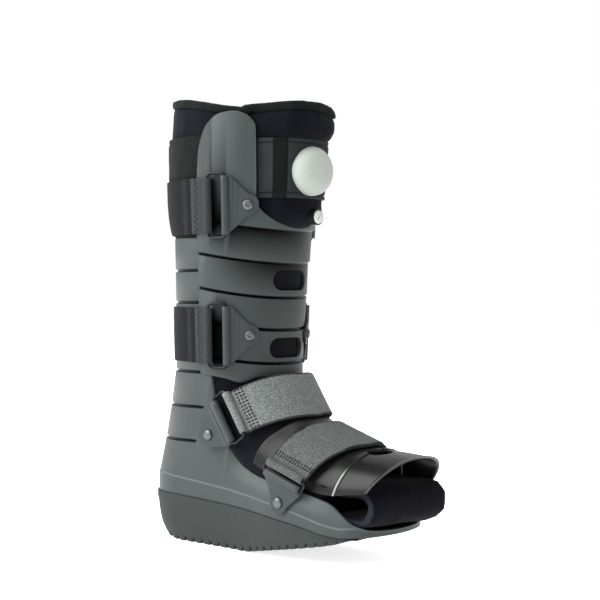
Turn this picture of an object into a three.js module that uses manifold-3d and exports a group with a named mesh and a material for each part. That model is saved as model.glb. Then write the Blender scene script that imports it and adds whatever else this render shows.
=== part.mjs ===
// A tall medical walking boot with a padded liner, two plastic shells and four ring straps.
// Millimetres. +X points to the toes, +Y to the inner side of the foot, +Z up.
// The origin is on the ground under the axis of the leg.

import * as THREE from "three";
import Module from "manifold-3d";
import { mergeVertices } from "three/addons/utils/BufferGeometryUtils.js";

const wasm = await Module();
wasm.setup();

// Main sizes of the leg and the foot
const ankleHeight = 176;
const calfHeight = 252;
const calfDepth = 130;
const calfWidth = 114;
const footReach = 196;
const ballWidth = 113;

// Level on the leg, a share of the calf's height over the ankle
function onLeg(share) {
  return ankleHeight + share * calfHeight;
}
const heelReach = 0.7385 * calfDepth;
const heelWidth = 0.7983 * calfWidth;

// Walls and clearances
const gap = 0.3;
const fineGap = 0.2;
const linerWall = 9;
const rearWall = 3;
const frontWall = 3.5;
const bandWall = 2.8;
const panelWall = 2;
const strapWall = 2.4;
const tabWall = 2.2;
const rimWall = 6;

// Shell details
const shellTop = onLeg(0.4841);
const tongueTop = onLeg(0.9524);
const grooveWidth = 2.5;
const grooveDepth = 1.6;
const grooveFall = 0.165;
const windowWidth = 49;
const windowHeight = 19.5;
const windowShift = 2.5;
const cutHalfWidth = 44;
const cutDepth = 30;
const cutBottom = onLeg(0.5198);
const seamTurn = 90;

// Liner top
const flapStart = 44;
const flapLevel = onLeg(0.8532);
const flapRise = 34;
const flapTop = flapLevel + flapRise;
const flapSag = 13;
const bandBottom = onLeg(0.6349);
const bandBackBottom = onLeg(0.4921);
const bandRise = 4;
const bandStep = 14;
const rimRise = 6.5;

// Ring straps
const wire = 3;
const calfStrapWidth = 52;
const ankleStrapWidth = 46;
const foreStrapWidth = 53;
const loopRadius = 3.8;
const rivetDiameter = 10;
const rivetHeight = 2.4;
const loopLift = 0.3;
const plateLift = 0.15;
const shankDiameter = 4;

// Pump, valve and toe cover
const bulbRadius = 23.5;
const bulbHeight = 16.5;
const bulbLevel = onLeg(0.7341);
const bulbTurn = -1;
const valveLevel = onLeg(0.5635);
const valveTurn = 9;
const valveDiameter = 15.6;
const valveCapDiameter = 13;
const valveReach = 6;
const toeHoleDiameter = 24.5;
const toeHoleAlong = 0.8954 * footReach;
const toeHoleAcross = -7;
const ribHeight = 1;
const ribWidth = 3;
const ribPlace = 3.32;
const coverTurn = 88;
const coverStart = 0.85;
const coverSideStart = 1.35;

// Toe wrap
const wrapTop = 0.4205 * ankleHeight;
const wrapBottom = 0.2159 * ankleHeight;
const wrapNose = 1.0051 * footReach;
const wrapStart = 0.7653 * footReach;
const wrapWidth = 90;
const wrapSkew = 0.2;

// Outsole
const lugPitch = 11.3;
const lugGap = 3.3;
const lugDepth = 4;
const solePride = 1.2;

const roundness = 2.2;
const deg = Math.PI / 180;

// Outside of the liner round the leg, as shares of the calf's height, depth and width. The
// bulge is how far the padding swells forward between the tongues of the front shell.
const calfSections = [
  { level: 1.000, front: 0.575, side: 0.535, back: 0.523, bulge: 0.115 },
  { level: 0.853, front: 0.570, side: 0.544, back: 0.554, bulge: 0.122 },
  { level: 0.651, front: 0.555, side: 0.5175, back: 0.560, bulge: 0.111 },
  { level: 0.571, front: 0.530, side: 0.512, back: 0.545, bulge: 0.120 },
  { level: 0.524, front: 0.516, side: 0.507, back: 0.523, bulge: 0.070 },
  { level: 0.484, front: 0.506, side: 0.5025, back: 0.4955, bulge: 0 },
  { level: 0.262, front: 0.452, side: 0.481, back: 0.497, bulge: 0 },
  { level: 0.127, front: 0.430, side: 0.471, back: 0.506, bulge: 0 },
  { level: 0.000, front: 0.418, side: 0.4605, back: 0.5015, bulge: 0 },
];
const bulgeTurns = [26, 39];

// Places round a section where every wall has its columns
const halfTurns = [0, 15, 27, 40, 50, 60, 70, 80, 90, 105, 120, 135, 150, 165, 180];

// Outside of the liner round the foot: the ridge over the instep as shares of the foot's
// reach and the ankle's height, with tilted sections that hang from it
const footSections = [
  { ridge: 0.283, level: 0.9375, tilt: 33.5, arch: 0.318, side: 0.460, tail: 0.739, square: 2.4 },
  { ridge: 0.485, level: 0.715, tilt: 33.5, arch: 0.318, side: 0.451, tail: 0.506, square: 3 },
  { ridge: 0.553, level: 0.674, tilt: 71, arch: 0.261, side: 0.456, tail: 0.210, square: 4 },
  { ridge: 0.808, level: 0.576, tilt: 71, arch: 0.227, side: 0.434, tail: 0.170, square: 4 },
];

// The toe cover goes on past the liner
const toeSections = [
  { ridge: 0.969, level: 0.567, tilt: 62, arch: 0.216, side: 0.438, tail: 0.17, square: 4 },
  { ridge: 1.092, level: 0.557, tilt: 52, arch: 0.205, side: 0.434, tail: 0.17, square: 4 },
];

// Outside of the rear shell below the calf: shares of the ankle's height, the heel's reach
// and the heel's width, with how far its front part is drawn in
const heelSections = [
  { level: 1.000, centre: 0.000, back: 0.715, side: 0.613, inset: 0 },
  { level: 0.761, centre: -0.146, back: 0.654, side: 0.582, inset: 0 },
  { level: 0.591, centre: -0.281, back: 0.600, side: 0.544, inset: 0 },
  { level: 0.412, centre: -0.437, back: 0.546, side: 0.511, inset: 0 },
  { level: 0.313, centre: -0.500, back: 0.496, side: 0.500, inset: 0 },
  { level: 0.227, centre: -0.500, back: 0.500, side: 0.495, inset: 0 },
  { level: 0.100, centre: -0.480, back: 0.490, side: 0.480, inset: 0.010 },
];
const soleSections = [
  { level: 0.313, centre: -0.500, back: 0.496, side: 0.500, inset: 0 },
  { level: 0.227, centre: -0.500, back: 0.500, side: 0.495, inset: 0 },
  { level: 0.100, centre: -0.480, back: 0.475, side: 0.480, inset: 0.010 },
  { level: 0.000, centre: -0.450, back: 0.440, side: 0.435, inset: 0.050 },
  { level: -0.100, centre: -0.450, back: 0.440, side: 0.435, inset: 0.050 },
];

// How far each place along the foot has opened from the heel's width to the ball's width
const solePlan = [
  { ahead: 0.10, open: 0.00 },
  { ahead: 0.26, open: 0.28 },
  { ahead: 0.41, open: 0.72 },
  { ahead: 0.59, open: 1.00 },
  { ahead: 0.72, open: 1.00 },
  { ahead: 0.83, open: 0.80 },
];
const toeStart = 0.83;

// Upper edge of the foot tub: shares of the foot's reach and the ankle's height
const tubEdge = [
  { ahead: 0.051, level: 0.960 },
  { ahead: 0.082, level: 0.767 },
  { ahead: 0.140, level: 0.568 },
  { ahead: 0.250, level: 0.460 },
  { ahead: 0.362, level: 0.420 },
  { ahead: 0.617, level: 0.375 },
  { ahead: 0.780, level: 0.335 },
  { ahead: 0.850, level: 0.284 },
  { ahead: 0.910, level: 0.232 },
  { ahead: 0.970, level: 0.206 },
  { ahead: 1.080, level: 0.188 },
];

// Joint between the shell and the sole, and the rockered tread
const seamLine = [
  { ahead: -0.600, level: 0.270 },
  { ahead: -0.330, level: 0.264 },
  { ahead: 0.265, level: 0.233 },
  { ahead: 0.560, level: 0.205 },
  { ahead: 0.842, level: 0.162 },
  { ahead: 0.898, level: 0.168 },
  { ahead: 1.005, level: 0.176 },
  { ahead: 1.100, level: 0.176 },
];
const treadLine = [
  { ahead: -0.480, level: 0.190 },
  { ahead: -0.465, level: 0.110 },
  { ahead: -0.420, level: 0.045 },
  { ahead: -0.340, level: 0.010 },
  { ahead: -0.240, level: 0.000 },
  { ahead: 0.190, level: 0.000 },
  { ahead: 0.330, level: 0.024 },
  { ahead: 0.450, level: 0.050 },
  { ahead: 0.633, level: 0.088 },
  { ahead: 0.830, level: 0.135 },
  { ahead: 0.898, level: 0.168 },
];

// Top edge of each tongue of the front shell, as shares of its height above the cut
const tongueEdge = [
  { turn: 40.4, rise: 0.730 },
  { turn: 44, rise: 0.865 },
  { turn: 50, rise: 0.955 },
  { turn: 60, rise: 1.000 },
  { turn: 70, rise: 0.980 },
  { turn: 80, rise: 0.860 },
  { turn: 86, rise: 0.600 },
  { turn: 90, rise: 0.050 },
];

// Lower edge of the front shell
const frontHem = [
  { turn: 0, level: 0.943 },
  { turn: 30, level: 0.940 },
  { turn: 48, level: 0.915 },
  { turn: 64, level: 0.938 },
  { turn: 90, level: 0.960 },
];

// Grooves and windows of the shells: their level over the ankle, as a share of the calf's height
const frontGrooves = [
  { level: 0.5536, reach: 64 },
  { level: 0.4270, reach: 100 },
  { level: 0.2964, reach: 100 },
  { level: 0.1726, reach: 100 },
  { level: 0.0437, reach: 100 },
];
const windowLevels = [0.3234, 0.0655];
const rearGrooves = [0.3611, 0.2381];
const heelGrooves = [-0.0278, -0.1627, -0.2976];

// Flap at the front of the liner's rim: how far it swells past the padding, by its height
const flapSections = [
  { rise: -0.30, front: 0.130 },
  { rise: 0.00, front: 0.150 },
  { rise: 0.25, front: 0.195 },
  { rise: 0.70, front: 0.200 },
  { rise: 1.10, front: 0.165 },
];
const flapEdgeRows = [
  { across: -1.2, drop: 1.20 },
  { across: -0.95, drop: 0.50 },
  { across: -0.8, drop: 0.20 },
  { across: -0.4, drop: 0.03 },
  { across: 0.1, drop: 0.00 },
  { across: 0.4, drop: 0.18 },
  { across: 0.7, drop: 0.50 },
  { across: 1.2, drop: 1.20 },
];

// Sizes in shares of a strap's width, turned into lengths
function sized(width, shares) {
  return Object.fromEntries(Object.entries(shares).map(([name, share]) => [name, share * width]));
}

// Ring buckles: sizes of the ring, the end of its strap and its tab, as shares of the width
const calfBuckle = sized(calfStrapWidth, {
  ringWidth: 0.4038, ringLength: 1.2308, strapWidth: 1, tabWidth: 1.0577,
  tabLength: 0.5962, tipRadius: 0.1923, shoulder: 0.0769,
});
const calfStraps = [
  { name: "upper", level: 0.6032, ringTurn: 72 },
  { name: "lower", level: 0.1151, ringTurn: 70 },
];

// Foot straps: where the ridge of the arch lies, its tilt, its rise above the rings, half of
// its width and how far its ends drift back from the ridge
const footStraps = [
  {
    name: "ankle", tilt: 33.5, ahead: 0.426, level: 0.840, rise: 0.2875, half: 0.4735, drift: 0.2174 * ankleStrapWidth,
    buckle: sized(ankleStrapWidth, {
      ringWidth: 0.4565, ringLength: 1.1304, strapWidth: 0.9130, ridgeWidth: 1,
      tabWidth: 0.9348, tabLength: 0.8261, tipRadius: 0.2826, shoulder: 0.1739,
    }),
  },
  {
    name: "fore", tilt: 71, ahead: 0.682, level: 0.642, rise: 0.2260, half: 0.5045, drift: 0.2642 * foreStrapWidth,
    buckle: sized(foreStrapWidth, {
      ringWidth: 0.2453, ringLength: 0.9811, strapWidth: 0.8113, ridgeWidth: 1,
      tabWidth: 0.8113, tabLength: 0.6038, tipRadius: 0.1887, shoulder: 0.0943,
    }),
  },
];

// Materials
function finish(colour, roughness, metalness = 0) {
  return new THREE.MeshStandardMaterial({ color: colour, roughness, metalness });
}
const shellPlastic = finish(0x5c6360, 0.55);
const soleRubber = finish(0x3d4341, 0.8);
const linerCloth = finish(0x14151f, 0.9);
const bindingCloth = finish(0x1f2221, 0.9);
const pileCloth = finish(0x2a2c33, 0.95);
const webbing = finish(0x656b68, 0.85);
const ringSteel = finish(0x3a3d3e, 0.35, 0.9);
const rivetSteel = finish(0x6f7573, 0.35, 0.9);
const tabPlastic = finish(0x666d6a, 0.5);
const panelPlastic = finish(0x525855, 0.4);
const bulbRubber = finish(0xb9c1b8, 0.5);
const capPlastic = finish(0xe6e8e6, 0.4);

// Skins a row of loops of points into one closed body; both halves of a loop face each other
function skin(loops, closed = false) {
  const size = loops[0].length;
  const positions = loops.flat().flatMap((point) => point.toArray());
  const faces = [];
  const quad = (a, b, c, d) => faces.push(a, b, c, a, c, d);
  const last = closed ? loops.length : loops.length - 1;
  for (let row = 0; row < last; row += 1) {
    const here = row * size;
    const next = ((row + 1) % loops.length) * size;
    for (let step = 0; step < size; step += 1) {
      const after = (step + 1) % size;
      quad(here + step, here + after, next + after, next + step);
    }
  }
  if (!closed) {
    const end = (loops.length - 1) * size;
    for (let step = 0; step < size / 2 - 1; step += 1) {
      const across = size - 1 - step;
      quad(step, across, across - 1, step + 1);
      quad(end + step, end + step + 1, end + across - 1, end + across);
    }
  }
  const geometry = new THREE.BufferGeometry();
  geometry.setAttribute("position", new THREE.Float32BufferAttribute(positions, 3));
  geometry.setIndex(faces);
  return solidOf(geometry);
}

// Turns a closed geometry into a solid, with its faces pointing out
function solidOf(geometry) {
  const bare = geometry.clone();
  bare.deleteAttribute("normal");
  bare.deleteAttribute("uv");
  const merged = mergeVertices(bare, 1e-4);
  const vertProperties = Float32Array.from(merged.attributes.position.array);
  const index = Uint32Array.from(merged.index.array);
  const triVerts = enclosed(vertProperties, index) < 0 ? index.reverse() : index;
  return new wasm.Manifold(new wasm.Mesh({ numProp: 3, vertProperties, triVerts }));
}

// Signed volume inside a list of triangles
function enclosed(points, index) {
  const corner = [new THREE.Vector3(), new THREE.Vector3(), new THREE.Vector3()];
  let total = 0;
  for (let face = 0; face < index.length; face += 3) {
    corner.forEach((point, turn) => point.fromArray(points, index[face + turn] * 3));
    total += corner[0].dot(corner[1].cross(corner[2])) / 6;
  }
  return total;
}

function meshOf(name, solid, material) {
  const { vertProperties, triVerts } = solid.getMesh();
  const geometry = new THREE.BufferGeometry();
  geometry.setAttribute("position", new THREE.Float32BufferAttribute(vertProperties, 3));
  geometry.setIndex(Array.from(triVerts));
  geometry.computeVertexNormals();
  const mesh = new THREE.Mesh(geometry, material);
  mesh.name = name;
  return mesh;
}

// Values spread evenly between two ends, both ends included
function spread(from, to, count) {
  return Array.from({ length: count + 1 }, (_, step) => from + ((to - from) * step) / count);
}

function mix(from, to, share) {
  return from + (to - from) * share;
}

// Reads a column of a table that is sorted by its key column
function readTable(rows, key, column, value) {
  const rising = rows[0][key] < rows[rows.length - 1][key];
  const sorted = rising ? rows : [...rows].reverse();
  const found = sorted.findIndex((row) => row[key] > value);
  const upper = found < 0 ? sorted.length - 1 : Math.max(found, 1);
  const low = sorted[upper - 1];
  const high = sorted[upper];
  const share = THREE.MathUtils.clamp((value - low[key]) / (high[key] - low[key]), 0, 1);
  return mix(low[column], high[column], share);
}

function powered(value, exponent) {
  return Math.sign(value) * Math.abs(value) ** (2 / exponent);
}


// A section in millimetres from its row of shares
function calfSection(row) {
  const front = row.front * calfDepth;
  return {
    ridge: front, level: ankleHeight + row.level * calfHeight, tilt: 0, arch: front,
    side: row.side * calfWidth, tail: row.back * calfDepth, square: roundness,
    bulge: row.bulge * calfDepth,
  };
}

function footSection(row) {
  return {
    ridge: row.ridge * footReach, level: row.level * ankleHeight, tilt: row.tilt,
    arch: row.arch * ankleHeight, side: row.side * ballWidth, tail: row.tail * ankleHeight,
    square: row.square, bulge: 0,
  };
}

const calf = calfSections.map(calfSection);
const foot = footSections.map(footSection);
const toe = toeSections.map(footSection);
const instep = [...foot, ...toe];
const rimLevel = ankleHeight + calfHeight;

function blendSections(first, second, share) {
  const blend = {};
  for (const key of Object.keys(first)) {
    blend[key] = mix(first[key], second[key], share);
  }
  return blend;
}

function calfAt(level) {
  const found = calf.findIndex((section) => section.level <= level);
  const lower = found < 0 ? calf.length - 1 : Math.max(found, 1);
  const high = calf[lower - 1];
  const low = calf[lower];
  const share = THREE.MathUtils.clamp((level - low.level) / (high.level - low.level), 0, 1);
  return { ...blendSections(low, high, share), level };
}

// The same section without the swelling between the tongues
function shellAt(level) {
  return { ...calfAt(level), bulge: 0 };
}

// A point round a section: turn 0 is its front or ridge, 90 a side and 180 its tail
function sectionPoint(section, turn, out = 0) {
  const grow = typeof out === "number" ? { front: out, side: out, tail: out } : out;
  const ahead = Math.cos(turn * deg);
  const across = Math.sin(turn * deg);
  const square = ahead > 0 ? roundness : section.square;
  const reach = ahead > 0 ? section.arch + grow.front : section.tail + grow.tail;
  const along = reach * powered(ahead, square) - section.arch + swelling(section, turn);
  return new THREE.Vector3(
    section.ridge + along * Math.cos(section.tilt * deg),
    (section.side + grow.side) * powered(across, square),
    section.level + along * Math.sin(section.tilt * deg),
  );
}

function swelling(section, turn) {
  const side = Math.abs(THREE.MathUtils.euclideanModulo(turn + 180, 360) - 180);
  return section.bulge * (1 - THREE.MathUtils.smoothstep(side, bulgeTurns[0], bulgeTurns[1]));
}

// Both sides of a half row of turns, front in the middle
function bothSides(turns) {
  return [...turns.slice(1).reverse().map((turn) => -turn), ...turns];
}

// A whole loop of turns from those of one side
function wholeLoop(turns) {
  return [...turns, ...turns.slice(1, -1).reverse().map((turn) => 360 - turn)];
}

const loopTurns = wholeLoop(halfTurns);
const innerTurns = wholeLoop(halfTurns.filter((_, place) => place % 2 === 0));

// Solid inside a row of sections
function sectionLoft(sections, out, turns = loopTurns) {
  return skin(sections.map((section) => (
    turns.map((turn) => sectionPoint(section, turn, out)))));
}

// Wall between two surfaces: a loop of points at each turn, up one face and down the other
function wallPatch(turns, shares, outer, inner) {
  return skin(turns.map((turn) => [
    ...shares.map((share) => outer(turn, share)),
    ...[...shares].reverse().map((share) => inner(turn, share)),
  ]));
}

// A prism along one axis from an outline of [a, b] pairs; a and b are the two other axes
function prism(axis, outline, from, to) {
  const shape = new THREE.Shape(outline.map(([a, b]) => new THREE.Vector2(a, b)));
  const geometry = new THREE.ExtrudeGeometry(shape, { depth: to - from, bevelEnabled: false });
  const [x, y, z] = ["x", "y", "z"].map((name) => new THREE.Vector3(
    name === "x" ? 1 : 0, name === "y" ? 1 : 0, name === "z" ? 1 : 0));
  const basis = { x: [y, z, x], y: [x, z, y], z: [x, y, z] }[axis];
  const matrix = new THREE.Matrix4().makeBasis(...basis);
  geometry.translate(0, 0, from);
  geometry.applyMatrix4(matrix);
  return solidOf(geometry);
}

// A rod between two points
function rod(start, end, radius, sides) {
  const direction = end.clone().sub(start);
  const geometry = new THREE.CylinderGeometry(radius, radius, direction.length(), sides);
  const turn = new THREE.Quaternion().setFromUnitVectors(
    new THREE.Vector3(0, 1, 0), direction.clone().normalize());
  geometry.applyQuaternion(turn);
  geometry.translate(...start.clone().add(end).multiplyScalar(0.5).toArray());
  return solidOf(geometry);
}

// Solid of revolution from [radius, height] pairs, stood on a point along a direction
function turned(profile, base, direction, sides) {
  const points = profile.map(([radius, height]) => new THREE.Vector2(radius, height));
  const geometry = new THREE.LatheGeometry(points, sides);
  const turn = new THREE.Quaternion().setFromUnitVectors(new THREE.Vector3(0, 1, 0), direction);
  geometry.applyQuaternion(turn);
  geometry.translate(...base.toArray());
  return solidOf(geometry);
}

// Farther than any part of the boot, for regions that are open on one side
const wide = ankleHeight + calfHeight;
const far = 40;

// Layers round the leg, outward from the liner
const rearOuter = gap + rearWall;
const frontSide = rearOuter + gap;
const seatLift = 0.5;

// The front shell hugs the liner in front and clears the rear shell and the band elsewhere
function frontInner(level) {
  const share = THREE.MathUtils.smoothstep(level, shellTop, shellTop + 14);
  return { front: mix(gap, frontSide, share), side: frontSide, tail: frontSide };
}

function grown(layer, by) {
  return { front: layer.front + by, side: layer.side + by, tail: layer.tail + by };
}

// Outlines of the shell and the sole, level by level
function heelSlice(row) {
  return {
    level: row.level * ankleHeight, centre: row.centre * heelReach,
    back: row.back * heelReach, side: row.side * heelWidth, inset: row.inset * heelWidth,
  };
}

function shellSlices() {
  const below = calf.filter((row) => row.level < shellTop - 1 && row.level > ankleHeight);
  const top = blendSections(below[0], calfAt(shellTop), 1.1);
  const upper = [top, ...below].map((section) => ({
    level: section.level, centre: 0, back: section.tail + rearOuter,
    side: section.side + rearOuter, inset: 0,
  }));
  return [...upper, ...heelSections.map(heelSlice)];
}

const heelTurns = spread(90, 270, 12);

// One outline in plan: a round heel, sides that open to the ball, and a round toe
function planOutline(slice, out) {
  const half = slice.side + out;
  const ball = ballWidth / 2 + out - slice.inset;
  const start = toeStart * footReach;
  const sideRow = solePlan.map((row) => [row.ahead * footReach, mix(half, ball, row.open)]);
  const toeHalf = sideRow[sideRow.length - 1][1];
  const heel = heelTurns.map((turn) => {
    const back = (slice.back + out) * powered(Math.cos(turn * deg), roundness);
    return [slice.centre + back, half * powered(Math.sin(turn * deg), roundness)];
  });
  const nose = spread(0, 90, 3).slice(1).map((turn) => [
    start + (footReach - start + out) * powered(Math.sin(turn * deg), roundness),
    toeHalf * powered(Math.cos(turn * deg), roundness),
  ]);
  const left = [...sideRow, ...nose];
  const right = left.slice(0, -1).map(([x, y]) => [x, -y]);
  return [...heel, ...right, ...left.reverse()]
    .map(([x, y]) => new THREE.Vector3(x, y, slice.level));
}

function planLoft(slices, out) {
  return skin(slices.map((slice) => planOutline(slice, out)));
}

function lineAt(line, ahead) {
  return readTable(line, "ahead", "level", ahead / footReach) * ankleHeight;
}

function linePoints(line, lift = 0) {
  return line.map((row) => [row.ahead * footReach, row.level * ankleHeight + lift]);
}

// Region kept for the rear shell, seen from the side
function tubProfile(lift) {
  const edge = linePoints(tubEdge, lift);
  const floor = linePoints(seamLine, gap);
  const neck = 5 + lift;
  const frontFloor = floor[floor.length - 1][1];
  const backFloor = floor[0][1];
  return [[-wide, shellTop + lift], [neck, shellTop + lift], [neck, edge[0][1]], ...edge,
    [wide, edge[edge.length - 1][1]], [wide, frontFloor], ...floor.reverse(), [-wide, backFloor]];
}

// Space inside the rear shell, with its floor
function tubSpace(out) {
  const floor = linePoints(seamLine, gap - out);
  const above = [[-wide, wide * 2], [-wide, floor[0][1]], ...floor,
    [wide, floor[floor.length - 1][1]], [wide, wide * 2]];
  return planLoft(shellSlices(), out).intersect(prism("y", above, -wide, wide));
}

// Thin wedge that cuts a groove into a wall along a falling line
function grooveCutter(level, turns, pointAt) {
  const fall = (turn) => grooveFall * Math.max(pointAt(level, turn, 0).x, 0);
  const height = (turn, share) => level - fall(turn) + share * grooveWidth;
  return skin(turns.map((turn) => [
    pointAt(height(turn, -0.5), turn, grooveDepth / 2),
    pointAt(height(turn, 0.5), turn, grooveDepth / 2),
    pointAt(height(turn, 0.1), turn, -grooveDepth),
    pointAt(height(turn, -0.1), turn, -grooveDepth),
  ]));
}

function rearShell() {
  const slices = shellSlices();
  const body = planLoft(slices, 0)
    .intersect(prism("y", tubProfile(0), -wide, wide))
    .subtract(tubSpace(-rearWall));
  const sliceAt = (level) => {
    const place = Math.max(slices.findIndex((slice) => slice.level <= level), 1);
    const low = slices[place];
    const high = slices[place - 1];
    return blendSections(low, high, (level - low.level) / (high.level - low.level));
  };
  const onShell = (level, turn, out) => {
    const slice = sliceAt(level);
    const back = (slice.back + out) * powered(Math.cos(turn * deg), roundness);
    const half = (slice.side + out) * powered(Math.sin(turn * deg), roundness);
    return new THREE.Vector3(slice.centre + back, half, level);
  };
  return [...rearGrooves, ...heelGrooves].reduce(
    (solid, share) => solid.subtract(grooveCutter(onLeg(share), heelTurns, onShell)), body);
}

// Region of the round cut at the front of the shell, drawn in by a margin
function cutRegion(margin) {
  const half = cutHalfWidth - margin;
  const round = spread(-90, 90, 10).map((turn) => [
    half * Math.sin(turn * deg), cutBottom + margin + cutDepth * (1 - Math.cos(turn * deg))]);
  return prism("x", [...round, [half, wide * 2], [-half, wide * 2]], 0, wide);
}

// Wall of the front shell between two layers, with its edges moved out by a margin
function frontBlock(from, to, margin) {
  const turns = bothSides([...halfTurns.filter((turn) => turn < tongueEdge[0].turn),
    ...tongueEdge.map((row) => row.turn)]);
  const bends = calf.map((section) => section.level).reverse()
    .filter((level) => level > ankleHeight && level < cutBottom + cutDepth + 4);
  const levelsAt = (turn) => {
    const side = Math.abs(turn);
    const hem = readTable(frontHem, "turn", "level", side) * ankleHeight - margin;
    const rise = readTable(tongueEdge, "turn", "rise", side);
    const top = mix(cutBottom + cutDepth, tongueTop, rise) + margin;
    const last = bends[bends.length - 1];
    return [hem, ...bends, mix(last, top, 0.6), top];
  };
  const shares = levelsAt(0).map((_, place) => place);
  const point = (by) => (turn, share) => {
    const level = levelsAt(turn)[share];
    const wider = Math.abs(turn) < seamTurn ? turn : turn + Math.sign(turn) * margin;
    return sectionPoint(shellAt(level), wider, grown(frontInner(level), by));
  };
  return wallPatch(turns, shares, point(to), point(from)).subtract(cutRegion(margin));
}

function frontShell() {
  const onShell = (level, turn, out) => (
    sectionPoint(shellAt(level), turn, grown(frontInner(level), frontWall + out)));
  const cutters = frontGrooves.map((groove) => {
    const turns = halfTurns.filter((turn) => turn < groove.reach);
    return grooveCutter(onLeg(groove.level), bothSides(turns), onShell);
  });
  const windows = windowLevels.map((share) => {
    const radius = windowHeight / 2;
    const reach = windowWidth / 2 - radius;
    const outline = [1, -1].flatMap((side) => spread(-90, 90, 6).map((turn) => [
      windowShift + side * (reach + radius * Math.cos(turn * deg)),
      onLeg(share) + side * radius * Math.sin(turn * deg)]));
    return prism("x", outline, calfDepth * 0.2, calfDepth);
  });
  return [...cutters, ...windows].reduce(
    (solid, cutter) => solid.subtract(cutter), frontBlock(0, frontWall, 0));
}

// Room that the padding leaves for the front shell
function frontRoom() {
  return frontBlock(-fineGap, far, gap);
}

// Liner: leg and foot in one row of sections, from the rim to the ball of the foot
function linerLoft(out, extend, turns = loopTurns) {
  const rim = { ...calf[0], level: rimLevel + rimRise + extend };
  const end = { ...foot[foot.length - 1] };
  end.ridge += extend * Math.sin(end.tilt * deg);
  end.level -= extend * Math.cos(end.tilt * deg);
  return sectionLoft([rim, ...calf.slice(1), ...foot.slice(0, -1), end], out, turns);
}

// Everything that the walls of the tub keep the padding out of
function tubKeepOut() {
  return prism("y", tubProfile(gap), -wide, wide).subtract(tubSpace(-rearWall - fineGap));
}

// Region above a line that falls from the back of the rim to the flap
function aboveRim(lift) {
  return prism("y", [[-wide, rimLevel + rimRise + lift], [-calfDepth / 2, rimLevel + rimRise + lift],
    [flapStart, rimLevel + lift], [wide, rimLevel + lift], [wide, wide * 2], [-wide, wide * 2]],
  -wide, wide);
}

function liner() {
  const flapRegion = prism("y", [[flapStart, flapLevel], [wide, flapLevel], [wide, 2 * wide],
    [flapStart, 2 * wide]], -wide, wide);
  return linerLoft(0, 0)
    .subtract(linerLoft(-linerWall, 10, innerTurns))
    .subtract(flapRegion)
    .subtract(aboveRim(-rimWall))
    .subtract(tubKeepOut())
    .subtract(frontRoom());
}

function rearBinding() {
  const low = { ...calf[0], level: rimLevel - rimWall - 4 };
  const high = { ...calf[0], level: rimLevel + rimRise + 4 };
  const behind = prism("y", [[-wide, 0], [flapStart, 0], [flapStart, 2 * wide],
    [-wide, 2 * wide]], -wide, wide);
  return sectionLoft([high, low], 1)
    .subtract(sectionLoft([{ ...high, level: high.level + 5 }, { ...low, level: low.level - 5 }],
      -linerWall - 1))
    .intersect(behind)
    .intersect(aboveRim(gap - rimWall))
    .subtract(aboveRim(0));
}

// Region above the curved edge of the flap, lower at both ends
function aboveFlapEdge(lift) {
  const half = calfWidth / 2;
  const edge = flapEdgeRows.map((row) => [
    row.across * half, flapTop + lift - row.drop * flapSag]);
  return prism("x", [...edge, [2 * half, flapTop], [2 * half, 2 * wide], [-2 * half, 2 * wide],
    [-2 * half, flapTop]], 0, wide);
}

function flapRing(out) {
  const rows = flapSections.map((row) => {
    const level = mix(flapLevel, flapTop, row.rise);
    return { ...calfAt(level), bulge: row.front * calfDepth };
  }).reverse();
  const last = rows.length - 1;
  const outer = sectionLoft(rows, { front: out, side: bandWall + out, tail: out });
  const taller = rows.map((row, place) => (
    { ...row, level: row.level + (place === 0 ? 5 : 0) - (place === last ? 5 : 0) }));
  const inner = sectionLoft(taller,
    { front: -linerWall - out, side: bandWall - linerWall - out, tail: -linerWall - out });
  const region = prism("y", [[flapStart + gap, flapLevel + gap], [wide, flapLevel + gap],
    [wide, 2 * wide], [flapStart + gap, 2 * wide]], -wide, wide);
  return outer.subtract(inner).intersect(region).subtract(frontRoom());
}

function frontFlap() {
  return flapRing(0).subtract(aboveFlapEdge(-rimWall - gap));
}

function flapBinding() {
  return flapRing(0.8).intersect(aboveFlapEdge(-rimWall)).subtract(aboveFlapEdge(0));
}

// Sections of the band: the bends of the calf between its lowest and its highest level
function bandLoft(out, extend) {
  const low = bandBackBottom - extend;
  const high = flapLevel + bandRise + extend;
  const between = calf.filter((section) => section.level > low && section.level < high);
  return sectionLoft([calfAt(high), ...between, calfAt(low)], out);
}

// Padded band round the leg, taller at the back
function calfBand() {
  const side = [[-wide, bandBackBottom], [bandStep, bandBackBottom], [bandStep + 6, bandBottom],
    [wide, bandBottom], [wide, flapLevel - gap], [flapStart - gap, flapLevel - gap],
    [flapStart / 2, flapLevel + bandRise], [-wide, flapLevel + bandRise]];
  return bandLoft(gap + bandWall, 0)
    .subtract(bandLoft(gap, 5))
    .intersect(prism("y", side, -wide, wide))
    .subtract(frontRoom());
}

// Pump bulb and valve, cut to sit on what is behind them
function pumpBulb() {
  const depth = 10;
  const seat = sectionPoint(calfAt(bulbLevel), bulbTurn, gap + bandWall);
  const dome = spread(0, 90, 6).map((turn) => [
    bulbRadius * Math.cos(turn * deg) ** 0.8, depth + bulbHeight * Math.sin(turn * deg)]);
  dome[dome.length - 1][0] = 0;
  const base = seat.clone().setX(seat.x - depth);
  return turned([[0, 0], [bulbRadius, 0], ...dome], base, new THREE.Vector3(1, 0, 0), 20)
    .subtract(bandLoft(2 * gap + bandWall, 0));
}

function valvePlace(out) {
  const seat = sectionPoint(calfAt(valveLevel), valveTurn, 0);
  return seat.setX(seat.x + out);
}

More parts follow.
